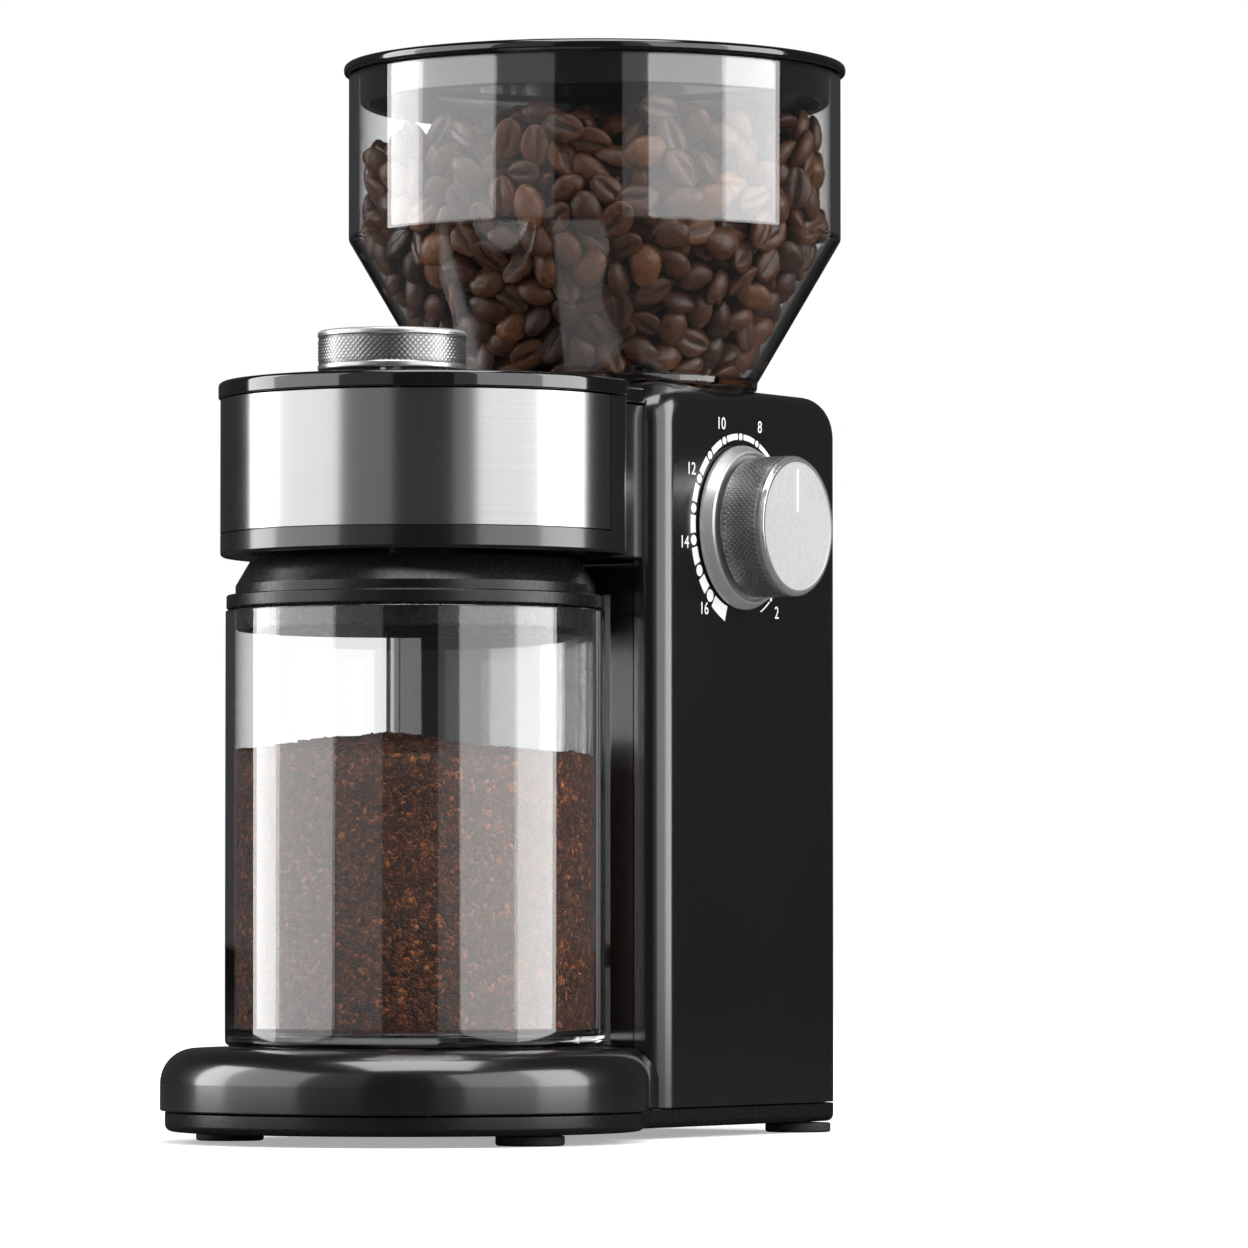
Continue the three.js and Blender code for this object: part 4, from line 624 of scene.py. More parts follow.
def add_light():
    """White behind the grinder and through its clear pieces, and dark between the lamps."""
    n = Nodes("world", world=True)
    bpy.context.scene.world = n.owner
    path = n.add("ShaderNodeLightPath").outputs
    levels = []
    for strength in (DIFFUSE_LIGHT, MIRRORED_LIGHT, 1.0):
        level = n.add("ShaderNodeBackground")
        n.fill(level.inputs, ((1, 1, 1, 1), strength))
        levels.append(level.outputs[0])
    glossy = n.mix_shader(n.math("MINIMUM", path["Glossy Depth"], 1.0), levels[0], levels[1])
    straight = n.math("LESS_THAN", n.math("ADD", path["Glossy Depth"], path["Diffuse Depth"]), 0.5)
    n.link(n.mix_shader(straight, glossy, levels[2]), n.output.inputs["Surface"])
    for name, settings in LAMPS.items():
        softbox(name, *settings)
    bpy.context.scene.view_settings.view_transform = "Standard"


add_camera()
add_floor()
add_light()

# ---------------------------------------------------------------- base

BASE_R = BASE_HIGH.x
LOBE_Y = BASE_LOW.y + BASE_R
WAIST_Y = COLUMN_LOW.y - 0.3 * MM  # where the base meets the column's front
LOBE_END = 28  # the round lobe ends this many degrees behind its widest place
FOOT_PLUG_R = 3 * MM  # the part of a foot that sits in the tray
COLUMN_HALF = PANEL_HIGH.x


def base_outline(inset, rear, rear_half, rear_r):
    """Plan of the base, anticlockwise: the column's part, then the round lobe in front."""
    lobe = BASE_R - inset
    end = math.radians(LOBE_END)
    end_x, end_y = lobe * math.cos(end), LOBE_Y + lobe * math.sin(end)
    waist = WAIST_Y - inset
    sweep = waist - end_y
    lean = (0.25 * sweep * math.sin(end), 0.25 * sweep * math.cos(end))
    half = COLUMN_HALF - inset
    narrow = rear_half - inset
    start = [(half, waist), (half, waist - 0.4 * sweep), (end_x - lean[0], end_y + lean[1]), (end_x, end_y)]
    right = [bezier(start, t / 14) for t in range(15)]
    left = [(-x, y) for x, y in reversed(right)]
    lobe_points = arc(0, LOBE_Y, lobe, LOBE_END, -180 - LOBE_END, 110)[1:-1]
    rear_left = arc(-narrow + rear_r, rear - inset - rear_r, rear_r, 180, 90, 8)
    rear_right = arc(narrow - rear_r, rear - inset - rear_r, rear_r, 90, 0, 8)
    step_right = [(narrow, waist)] if narrow < half - 1e-5 else []
    step_left = [(-narrow, waist)] if narrow < half - 1e-5 else []
    clockwise = rear_left + rear_right + step_right + right + lobe_points + left + step_left
    return list(reversed(clockwise))


def bezier(points, t):
    """A point on a cubic curve."""
    s = 1 - t
    weights = (s ** 3, 3 * s * s * t, 3 * s * t * t, t ** 3)
    return tuple(sum(w * p[k] for w, p in zip(weights, points)) for k in (0, 1))


def make_base():
    outline = base_outline(0, COLUMN_HIGH.y, COLUMN_HALF - 3 * MM, 6 * MM)
    levels = edge_levels(BASE_LOW.z, BASE_HIGH.z, 0.4 * MM, 8.5 * MM, 12)
    shell = stack("base_shell_skin", outline, levels)
    soften(dress(shell, "housing", "housing", "black_plastic", "base_shell"), 50)
    outline = base_outline(1.2 * MM, TRAY_HIGH.y + 1.2 * MM, COLUMN_HALF, 7 * MM)
    tray = stack("base_tray_skin", outline, edge_levels(TRAY_LOW.z, TRAY_HIGH.z, 1.8 * MM, 0.3 * MM, 6))
    for node in [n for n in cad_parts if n.startswith(("foot_", "tray_screw_"))]:
        low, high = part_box(node)
        reach = FOOT_PLUG_R + 0.2 * MM if node.startswith("foot_") else (high.x - low.x) / 2 + 0.5 * MM
        centre = (low + high) / 2
        boolean(tray, cylinder("pocket", reach, -MM, 2.2 * MM, 24, (centre.x, centre.y, TRAY_LOW.z)))
    soften(dress(tray, "satin", "housing", "black_plastic", "base_tray"), 40)
    for node in [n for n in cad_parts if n.startswith("foot_")]:
        low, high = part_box(node)
        r = (high.y - low.y) / 2
        pad = TRAY_LOW.z - 0.3 * MM
        profile = rounded([(0, 0), (r, 0), (r, pad), (FOOT_PLUG_R, pad), (FOOT_PLUG_R, pad + 2 * MM),
                           (0, pad + 2 * MM)],
                          [0, 0.7, 0.4, 0, 0, 0], 5, closed=False)
        ridge = [(r * 0.62, 0), (r * 0.62, 0.35 * MM), (r * 0.5, 0.35 * MM), (r * 0.5, 0)]
        profile = [profile[0], *reversed(ridge), *profile[1:]]
        skin = lathe(node + "_skin", profile, 48, ((low.x + high.x) / 2, (low.y + high.y) / 2, 0))
        soften(dress(skin, "rubber", "housing", "rubber_black", node))


# ---------------------------------------------------------------- column

TOP_FILLET = 10.5 * MM  # of the upper corners, seen from the side
EDGE_ROUND = 7 * MM  # of the edges round both sides
SEAM_X = 34.8 * MM
SEAM = 0.25 * MM
SHELL = 2.5 * MM
RECESS_R = 53.0 * MM  # the bay that the container stands in
RECESS_TOP = LID_LOW.z + 10 * MM
STEM_BORE_R = 8.6 * MM
VENT_SLOTS = 6
WINDOW_LEFT = -33 * MM  # of the chute's window in the column's front


def side_solid(name, low, high, corner, levels):
    """A solid over the column's side view, with its upper corners rounded. Its levels run along X."""
    outline = rounded([(low[1], low[2]), (high[1], low[2]), (high[1], high[2]), (low[1], high[2])],
                      [0, 0, corner / MM, corner / MM], 12)
    solid = stack(name, outline, levels)
    solid.data.transform(Matrix(((0, 0, 1, 0), (1, 0, 0, 0), (0, 1, 0, 0), (0, 0, 0, 1))))
    return solid


def column_block(name, low, high):
    """The column's outer form: the edges round both sides have one radius, and the foot is cut straight."""
    solid = side_solid(name, (low[0], low[1], low[2] - 30 * MM), high, TOP_FILLET,
                       edge_levels(low[0], high[0], EDGE_ROUND, EDGE_ROUND, 10))
    return boolean(solid, block("below", (-1, -1, -1), (1, 1, low[2])))


def slab(low_x, high_x):
    return block("slab", (low_x, -0.5, -0.5), (high_x, 0.5, 0.5))


def along_y(obj, y, z):
    """Turns a piece built on +Z so that it lies along +Y."""
    obj.data.transform(Matrix.Rotation(-math.pi / 2, 4, "X"))
    obj.data.transform(Matrix.Translation((0, y, z)))
    return obj


def make_column():
    low = (-COLUMN_HALF, COLUMN_LOW.y, PANEL_LOW.z)
    high = (COLUMN_HALF, COLUMN_HIGH.y, COLUMN_HIGH.z)
    outer = column_block("column_skin", low, high)
    right = boolean(copy_of(outer, "side_cover_right"), slab(SEAM_X, 1), "INTERSECT")
    left = boolean(copy_of(outer, "side_cover_left"), slab(-1, -SEAM_X), "INTERSECT")
    inner = SEAM_X - SEAM
    boolean(outer, slab(-inner, inner), "INTERSECT")
    boolean(outer, block("foot_cut", (-1, -1, -1), (1, 1, BASE_HIGH.z + 0.3 * MM)))
    cavity = side_solid("cavity", (0, low[1] + SHELL, BASE_HIGH.z + SHELL), (0, high[1] - SHELL, high[2] - SHELL),
                        TOP_FILLET - SHELL, [(-inner + SHELL, 0), (inner - SHELL, 0)])
    boolean(cavity, cylinder("keep", RECESS_R + SHELL, -0.1, RECESS_TOP + SHELL, 128, (0, CONTAINER_Y, 0)))
    boolean(outer, cavity)
    boolean(outer, cylinder("recess", RECESS_R, -0.1, RECESS_TOP, 160, (0, CONTAINER_Y, 0)))
    boolean(outer, cylinder("hole", COLLAR_HIGH.x, high[2] - 8 * MM, 1, 128, (0, HOPPER_Y, 0)))
    vent_low, vent_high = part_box("rear_cover")
    gap = 0.35 * MM
    boolean(outer, block("vent", (vent_low.x - gap, vent_low.y - MM, vent_low.z - gap),
                         (vent_high.x + gap, 1, vent_high.z + gap)))
    window_low, window_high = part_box("grounds_chute")
    boolean(outer, block("window", (WINDOW_LEFT, low[1] - MM, window_low.z - MM),
                         (window_high.x + 4 * MM, low[1] + 8 * MM, window_high.z + 6 * MM)))
    for node, radius, start, end in (("cord_grommet", 6.5 * MM, high[1] - 9 * MM, 1),
                                     ("interlock_plunger", 3.4 * MM, -1, low[1] + 14 * MM)):
        boolean(outer, along_y(cylinder("bore", radius, start, end, 32), 0, middle(node, 2)))
    hollow = side_solid("hollow", (0, low[1] + SHELL, low[2] + SHELL), (0, high[1] - SHELL, high[2] - SHELL),
                        TOP_FILLET - SHELL, [(-1, 0), (COLUMN_HALF - SHELL, 0)])
    boolean(right, hollow, keep=True)
    hollow.data.transform(Matrix.Diagonal((-1, 1, 1, 1)))
    hollow.data.flip_normals()
    boolean(left, hollow)
    boolean(right, to_dial(cylinder("stem", STEM_BORE_R, 0, 1, 48)))
    for panel, node in ((outer, "column_housing"), (right, "side_panel_right"), (left, "side_panel_left")):
        soften(dress(panel, "housing", "housing", "black_plastic", node), 34)


def make_rear():
    low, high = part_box("rear_cover")
    cover = block("rear_cover_skin", (low.x, high.y - 2.3 * MM, low.z), (high.x, high.y, high.z))
    bevel = cover.modifiers.new("bevel", "BEVEL")
    bevel.width = 0.5 * MM
    bevel.segments = 3
    bake_modifiers(cover)
    left, right = low.x + 5 * MM, high.x - 5 * MM
    for i in range(1, VENT_SLOTS + 1):
        z = low.z + i * (high.z - low.z) / (VENT_SLOTS + 1)
        profile = rounded([(left, z - 1.5 * MM), (right, z - 1.5 * MM), (right, z + 1.5 * MM), (left, z + 1.5 * MM)],
                          [1.45] * 4, 5)
        tool = stack("slot", profile, [(-1, 0), (1, 0)])
        tool.data.transform(Matrix.Rotation(math.pi / 2, 4, "X"))
        boolean(cover, tool)
    soften(dress(cover, "satin", "housing", "black_plastic", "rear_cover"))
    low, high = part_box("cord_grommet")
    length = high.y - low.y
    profile = rounded([(3.6 * MM, 0), (6.2 * MM, 0), (6.2 * MM, length - 2.4 * MM), (8.5 * MM, length - 2.4 * MM),
                       (7.6 * MM, length), (3.6 * MM, length)], [0, 0.5, 0, 0.5, 0.8, 0.8], 5)
    grommet = along_y(lathe("cord_grommet_skin", profile, 64), low.y, (low.z + high.z) / 2)
    soften(dress(grommet, "rubber", "housing", "rubber_black", "cord_grommet"))


def make_collar():
    inner = COLLAR_HIGH.x - 4 * MM
    outer = COLLAR_HIGH.x - 0.8 * MM
    lip = COLLAR_LOW.z + 2 * MM
    profile = rounded([(inner, COLLAR_LOW.z), (COLLAR_HIGH.x, COLLAR_LOW.z), (COLLAR_HIGH.x, lip), (outer, lip),
                       (outer, COLLAR_HIGH.z), (inner, COLLAR_HIGH.z)],
                      [0.5, 0.4, 0.3, 0, 0.5, 0.8], 4)
    collar = lathe("hopper_collar_skin", profile, 128, (0, HOPPER_Y, 0))
    soften(dress(collar, "satin", "housing", "black_plastic", "hopper_collar"))


# ---------------------------------------------------------------- head

HEAD_R = HEAD_HIGH.x
HEAD_Y = HEAD_LOW.y + HEAD_R
HEAD_FLANK = 8 * MM
NECK_HALF = 37 * MM
HEAD_BACK = COLUMN_LOW.y + 0.8 * MM  # a little inside the column's front, so that no light gets between
HEAD_WALL = 3.6 * MM
BAND_THICK = 0.8 * MM
SPOUT_R = 11 * MM


def head_outline(inset=0.0, proud=0.0):
    """Plan of the head, anticlockwise: a round drum, a short flank, and an S sweep to the neck."""
    drum = HEAD_R - inset + proud
    neck = NECK_HALF - inset + proud
    flank = HEAD_Y + HEAD_FLANK
    neck_start = flank + 0.62 * (HEAD_BACK - flank)
    front = arc(0, HEAD_Y, drum, 180, 360, 96)
    curve = [(drum, flank), (drum, flank + 8 * MM), (neck, flank + 8 * MM), (neck, neck_start)]
    right = [bezier(curve, t / 18) for t in range(19)]
    left = [(-x, y) for x, y in reversed(right)]
    return front + right + [(neck, HEAD_BACK), (-neck, HEAD_BACK)] + left


def band_outline(inner, outer, past):
    return (arc(0, HEAD_Y, outer, 180, 360, 120) + [(outer, HEAD_Y + past), (inner, HEAD_Y + past)]
            + arc(0, HEAD_Y, inner, 360, 180, 120) + [(-inner, HEAD_Y + past), (-outer, HEAD_Y + past)])


def make_head():
    past = BAND_HIGH.y - HEAD_Y
    shell = stack("head_shell_skin", head_outline(), edge_levels(HEAD_LOW.z, HEAD_HIGH.z, 0.9 * MM, 0.3 * MM, 5))
    room = stack("room", band_outline(HEAD_R - BAND_THICK - 0.15 * MM, HEAD_R + 9 * MM, past + 0.3 * MM),
                 [(BAND_LOW.z - 0.3 * MM, 0), (1, 0)])
    boolean(shell, room)
    hollow = stack("hollow", head_outline(HEAD_WALL), [(HEAD_LOW.z + SHELL, 0), (1, 0)])
    boolean(shell, hollow)
    boolean(shell, cylinder("spout", SPOUT_R, -1, HEAD_LOW.z + 9 * MM, 48, (0, CONTAINER_Y, 0)))
    rear = block("rear", (-NECK_HALF + 4 * MM, HEAD_BACK - 6 * MM, HEAD_LOW.z + SHELL),
                 (NECK_HALF - 4 * MM, HEAD_BACK + 6 * MM, 1))
    boolean(shell, rear)
    soften(dress(shell, "housing", "housing", "black_plastic", "head_shell"), 34)

    band = stack("steel_band_skin", band_outline(HEAD_R - BAND_THICK, HEAD_R, past),
                 [(BAND_LOW.z, 0.12 * MM), (BAND_LOW.z + 0.12 * MM, 0),
                  (BAND_HIGH.z - 0.12 * MM, 0), (BAND_HIGH.z, 0.12 * MM)])
    lay_band_uv(band)
    soften(dress(band, "band", "housing", "brushed_steel", "steel_band"), 34)

    cap = stack("head_cap_skin", head_outline(proud=0.5 * MM),
                edge_levels(CAP_LOW.z, CAP_HIGH.z, 0.4 * MM, 1.1 * MM, 6))
    boolean(cap, cylinder("shaft", 3.6 * MM, -1, 1, 48, (0, SELECTOR_Y, 0)))
    soften(dress(cap, "gloss", "housing", "black_plastic", "head_cap"), 34)


def lay_band_uv(band):
    """U is the length along the band and V the height, both in metres."""
    layer = band.data.uv_layers.new(name="along")
    for loop in band.data.loops:
        x, y, z = band.data.vertices[loop.vertex_index].co
        around = math.atan2(x, -(y - HEAD_Y))
        layer.data[loop.index].uv = (around * HEAD_R, z)


# ---------------------------------------------------------------- knurled knobs


KNURL_AROUND = 80
KNURL_PITCH = 1.45 * MM
STEPS_PER_TOOTH = 4


def knurled(radius, low, high, depth):
    """A cylinder's wall with a diamond knurl: pyramids between two crossing sets of grooves."""
    columns = KNURL_AROUND * STEPS_PER_TOOTH
    rows = int((high - low) / KNURL_PITCH * STEPS_PER_TOOTH)
    bm = bmesh.new()
    grid = []
    grooves = []
    for j in range(rows + 1):
        z = low + (high - low) * j / rows
        ring = []
        for i in range(columns):
            u = i / STEPS_PER_TOOTH
            v = (z - low) / KNURL_PITCH
            fade = min(1.0, 6 * j / rows, 6 * (rows - j) / rows)
            height = min(wave(u + v), wave(u - v)) * fade
            # How deep the point is in a groove; the knurl materials paint shade with it.
            grooves.append(1 - height)
            r = radius - depth * (1 - height)
            a = 2 * math.pi * i / columns
            ring.append(bm.verts.new((r * math.cos(a), r * math.sin(a), z)))
        grid.append(ring)
    for lower, upper in zip(grid, grid[1:]):
        for i in range(columns):
            k = (i + 1) % columns
            bm.faces.new([lower[i], lower[k], upper[k], upper[i]])
    wall = as_object("wall", bm)
    wall.data.attributes.new("groove", "FLOAT", "POINT").data.foreach_set("value", grooves)
    return wall


def wave(t):
    """A triangle wave, 0 at whole numbers and 1 halfway."""
    part = t - math.floor(t)
    return 1 - abs(2 * part - 1)


def make_selector():
    r = KNOB_HIGH.x
    low, high = KNOB_LOW.z, KNOB_HIGH.z
    knurl_low, knurl_high = low + 1.3 * MM, high - 1.4 * MM
    depth = 0.32 * MM
    edge = r - depth
    core = rounded([(0, low + 1.2 * MM), (5 * MM, low + 1.2 * MM), (5 * MM, low), (r, low), (r, knurl_low),
                    (edge, knurl_low + 0.3 * MM), (edge, knurl_high - 0.3 * MM), (r, knurl_high), (r, high),
                    (r - 3.2 * MM, high), (r - 3.4 * MM, high - 0.25 * MM), (0, high - 0.25 * MM)],
                   [0, 0, 0, 0.5, 0.15, 0, 0, 0.15, 0.75, 0.1, 0, 0], 5, closed=False)
    body = lathe("selector_knob_skin", core, 160)
    wall = knurled(r - 0.02 * MM, knurl_low, knurl_high, depth)
    knob = joined("selector_knob_skin", [body, wall])
    knob.data.transform(Matrix.Translation((0, SELECTOR_Y, 0)))
    soften(dress(knob, "knurl", "cup_selector", "knurled_aluminium", "selector_knob"), 50, weighted=False)
    knob.data.materials.append(MATERIALS["turned"])
    for face in knob.data.polygons:
        if face.center.z > high - 0.9 * MM:
            face.material_index = 1
    mark = block("selector_mark", (-0.35 * MM, SELECTOR_Y - r + 4.6 * MM, high - 0.29 * MM),
                 (0.35 * MM, SELECTOR_Y - r + 10 * MM, high - 0.2 * MM))
    dress(mark, "satin", "cup_selector", "black_plastic")


def to_dial(obj):
    """Turns a piece built on +Z so that it lies on the dial's axis, +X."""
    obj.data.transform(Matrix.Rotation(math.pi / 2, 4, "Y"))
    obj.data.transform(Matrix.Translation((0, DIAL_Y, DIAL_Z)))
    return obj


def make_dial():
    bezel_r = BEZEL_HIGH.y - DIAL_Y
    low, high = BEZEL_LOW.x, BEZEL_HIGH.x
    bore = STEM_BORE_R + 0.1 * MM
    profile = rounded([(bore, low), (bezel_r, low), (bezel_r, low + 1.1 * MM), (bezel_r - 1.2 * MM, high - 0.5 * MM),
                       (bezel_r - 1.9 * MM, high), (bezel_r - 2.4 * MM, high - 0.9 * MM), (bore, high - 0.9 * MM)],
                      [0, 0.3, 0.3, 0.3, 0.25, 0.2, 0], 5)
    bezel = to_dial(lathe("dial_bezel_skin", profile, 160))
    soften(dress(bezel, "turned", "housing", "knurled_aluminium", "dial_bezel"))

    r = 17.6 * MM
    face_r = 16.8 * MM
    low, high = DIAL_LOW.x, DIAL_HIGH.x
    depth = 0.12 * MM
    knurl_low, knurl_high = low + 0.5 * MM, high - 1.9 * MM
    edge = r - depth
    core = rounded([(0, low + 3 * MM), (7 * MM, low + 3 * MM), (7 * MM, low), (r - 0.6 * MM, low),
                    (edge, knurl_low + 0.3 * MM), (edge, knurl_high - 0.2 * MM), (r - 0.15 * MM, knurl_high),
                    (r - 0.1 * MM, high - 0.9 * MM), (face_r, high), (face_r - 0.75 * MM, high),
                    (face_r - 0.9 * MM, high - 0.2 * MM), (0, high - 0.2 * MM)],
                   [0, 0, 0, 0.2, 0, 0, 0.1, 0.35, 0.25, 0.05, 0, 0], 5, closed=False)
    body = lathe("dial_knob_skin", core, 192)
    wall = knurled(r - 0.02 * MM, knurl_low, knurl_high, depth)
    knob = to_dial(joined("dial_knob_skin", [body, wall]))
    # The dial's knurl takes the lighter copy of the aluminium, which is painted light.
    soften(dress(knob, "painted_light_dial_knurl", "grind_dial", "knurled_aluminium", "dial_knob"), 8, weighted=False)
    knob.data.materials.append(MATERIALS["face"])
    knob.data.materials.append(MATERIALS["polished"])
    for face in knob.data.polygons:
        out = math.hypot(face.center.y - DIAL_Y, face.center.z - DIAL_Z)
        if face.center.x > high - 0.35 * MM and out < face_r - 0.8 * MM:
            face.material_index = 1
        elif face.center.x > knurl_high + 0.1 * MM:
            face.material_index = 2
    outline = rounded([(-0.45 * MM, 3.6 * MM), (0.45 * MM, 3.6 * MM), (0.45 * MM, 14.1 * MM),
                       (-0.45 * MM, 14.1 * MM)], [0.4] * 4, 4)
    line = stack("dial_pointer", outline, [(-0.15 * MM, 0), (0.06 * MM, 0)])
    on_panel(line, high - 0.2 * MM)
    soften(dress(line, "print", "grind_dial", "dial_print"))


PRINT_R = 22.8 * MM
PRINT_START = -162
PRINT_END = 155
PRINT_WIDE = 4.0 * MM
PRINT_NARROW = 0.35 * MM
PRINT_THICK = 0.05 * MM
DOT_STEP = 20
LABEL_R = 27.2 * MM
LABELS = {degrees: str(9 - degrees // 20) for degrees in range(-140, 141, 40)}


def on_panel(obj, x=COLUMN_HALF + 0.01 * MM):
    """From a drawing round the dial's axis, in (right, up) seen from +X, to its place at an x."""
    obj.data.transform(Matrix(((0, 0, 1, x), (1, 0, 0, DIAL_Y), (0, 1, 0, DIAL_Z), (0, 0, 0, 1))))
    return obj


def clock(radius, degrees):
    """A point at an angle clockwise from the top, in (right, up)."""
    a = math.radians(degrees)
    return (radius * math.sin(a), radius * math.cos(a))


def band_width(degrees):
    share = (degrees - PRINT_START) / (PRINT_END - PRINT_START)
    return PRINT_WIDE + (PRINT_NARROW - PRINT_WIDE) * share ** 0.55


def dot_radius(degrees):
    return 0.4 * band_width(degrees) + 0.3 * MM


def dot_room(degrees):
    """Half of the gap in the band round a dot, in degrees."""
    return math.degrees((dot_radius(degrees) + 0.5 * MM) / PRINT_R)


def make_print():
    """The dial's scale: a band that narrows, broken by dots, with a numeral at every second dot."""
    pieces = []
    dots = range(-140, 141, DOT_STEP)
    stops = [PRINT_START, *dots, PRINT_END]
    for before, after in zip(stops, stops[1:]):
        start = before + (dot_room(before) if before > PRINT_START else 0)
        end = after - (dot_room(after) if after < PRINT_END else 0)
        angles = [start + (end - start) * k / 10 for k in range(11)]
        inner, outer = [[clock(PRINT_R + side * band_width(a) / 2, a) for a in angles] for side in (-1, 1)]
        pieces.append(stack("segment", inner + outer[::-1], [(0, 0), (PRINT_THICK, 0)]))
    for degrees in dots:
        x, y = clock(PRINT_R, degrees)
        pieces.append(stack("dot", arc(x, y, dot_radius(degrees), 0, 345, 23), [(0, 0), (PRINT_THICK, 0)]))
    pieces += [label(text, degrees) for degrees, text in LABELS.items()]
    dress(on_panel(joined("dial_scale_print", pieces)), "print", "housing", "dial_print")


def label(text, degrees):
    curve = bpy.data.curves.new("label", "FONT")
    curve.body = text
    curve.size = 4.4 * MM
    curve.align_x = "CENTER"
    curve.align_y = "CENTER"
    curve.extrude = PRINT_THICK / 2
    curve.resolution_u = 3
    holder = placed("label", curve)
    mesh = bpy.data.meshes.new_from_object(holder.evaluated_get(bpy.context.evaluated_depsgraph_get()))
    bpy.data.objects.remove(holder)
    x, y = clock(LABEL_R, degrees)
    mesh.transform(Matrix.Translation((x, y, PRINT_THICK / 2)))
    return placed("label", mesh)


# ---------------------------------------------------------------- hopper

HOPPER_R = HOPPER_HIGH.x
HOPPER_WALL = 2.5 * MM
HOPPER_SEAT = COLUMN_HIGH.z + 0.3 * MM
FLANGE_TOP = HOPPER_SEAT + 2.2 * MM
FLANGE_R = 41 * MM
SHOULDER_Z = 225.5 * MM
SPIGOT_R = 29.2 * MM
SPIGOT_IN = 26.5 * MM


SLOPE = (HOPPER_R - FLANGE_R) / (SHOULDER_Z - FLANGE_TOP)
CONE_WALL = HOPPER_WALL * math.sqrt(1 + SLOPE * SLOPE)  # measured level


def hopper_inside(z):
    """Inner radius of the hopper at a height."""
    return min(HOPPER_R - HOPPER_WALL, FLANGE_R - CONE_WALL + SLOPE * (z - FLANGE_TOP))


def make_hopper():
    inner = HOPPER_R - HOPPER_WALL
    shoulder_in = SHOULDER_Z + (CONE_WALL - HOPPER_WALL) / SLOPE
    top = HOPPER_HIGH.z
    profile = rounded([(SPIGOT_IN, HOPPER_LOW.z), (SPIGOT_R, HOPPER_LOW.z), (SPIGOT_R, HOPPER_SEAT),
                       (FLANGE_R, HOPPER_SEAT), (FLANGE_R + 0.2 * MM, FLANGE_TOP), (HOPPER_R, SHOULDER_Z),
                       (HOPPER_R, top), (inner, top), (inner, shoulder_in),
                       (FLANGE_R - CONE_WALL, FLANGE_TOP), (SPIGOT_IN, FLANGE_TOP - MM)],
                      [0.4, 0.4, 0.5, 0.7, 1.2, 2.2, 0.5, 0.5, 1.6,
                       1.5, 1], 5)
    shell = lathe("hopper_shell_skin", profile, 192, (0, HOPPER_Y, 0))
    soften(dress(shell, "clear", "hopper", "clear_plastic", "hopper_shell"), 40)

    r = TOP_HIGH.x
    seat = HOPPER_HIGH.z + 0.3 * MM
    skirt = inner - 0.35 * MM
    skirt_in = skirt - 2.3 * MM
    top = TOP_HIGH.z
    dish = skirt_in - 4 * MM
    profile = rounded([(0, seat), (skirt_in, seat), (skirt_in, TOP_LOW.z), (skirt, TOP_LOW.z), (skirt, seat),
                       (r, seat), (r, top), (dish + 1.2 * MM, top), (dish, top - 0.8 * MM), (0, top - 0.8 * MM)],
                      [0, 1, 0.6, 0.6, 0.3, 0.9, 1.2, 0.5, 0.5, 0], 6,
                      closed=False)
    lid = lathe("hopper_lid_skin", profile, 192, (0, HOPPER_Y, 0))
    soften(dress(lid, "gloss", "hopper_lid", "black_plastic", "hopper_lid"))


# ---------------------------------------------------------------- container

JAR_R = JAR_HIGH.x
JAR_WALL = 2.2 * MM
JAR_FLOOR = 2.6 * MM


def make_container():
    inner = JAR_R - JAR_WALL
    low, high = JAR_LOW.z, JAR_HIGH.z
    floor = low + JAR_FLOOR
    profile = rounded([(0, low + 0.6 * MM), (JAR_R - 6 * MM, low + 0.6 * MM), (JAR_R - 6.8 * MM, low), (JAR_R, low),
                       (JAR_R, high), (inner, high), (inner, floor), (0, floor)],
                      [0, 0.2, 0.3, 1.6, 0.5, 0.5, 2, 0], 6, closed=False)
    jar = lathe("container_jar_skin", profile, 192, (0, CONTAINER_Y, 0))
    soften(dress(jar, "clear", "grounds_container", "clear_plastic", "container_jar"), 40)

    seat = high + 0.3 * MM
    flange_r, flange_top = LID_HIGH.x, seat + 3.4 * MM
    ring_r, ring_top = 43.8 * MM, flange_top + 2.3 * MM
    cone_r, top = 40.1 * MM, LID_HIGH.z
    skirt = inner - 0.3 * MM
    skirt_in = skirt - 2 * MM
    hole = 15 * MM
    wall = 2 * MM
    profile = rounded([(skirt_in, LID_LOW.z), (skirt, LID_LOW.z), (skirt, seat), (flange_r, seat),
                       (flange_r, flange_top), (ring_r, flange_top), (ring_r, ring_top), (cone_r, top), (hole, top),
                       (hole, top - wall), (cone_r - wall, top - wall), (skirt_in, ring_top)],
                      [0.4, 0.4, 0.2, 0.5, 0.5, 0.2, 0.35, 0.5, 0.6,
                       0.6, 0.5, 0.5], 5)
    lid = lathe("container_lid_skin", profile, 192, (0, CONTAINER_Y, 0))
    soften(dress(lid, "satin", "container_lid", "black_plastic", "container_lid"))


GROUNDS_LEVEL = 93.5 * MM
GROUNDS_MOUND = 5.5 * MM
FILL_GAP = 0.25 * MM


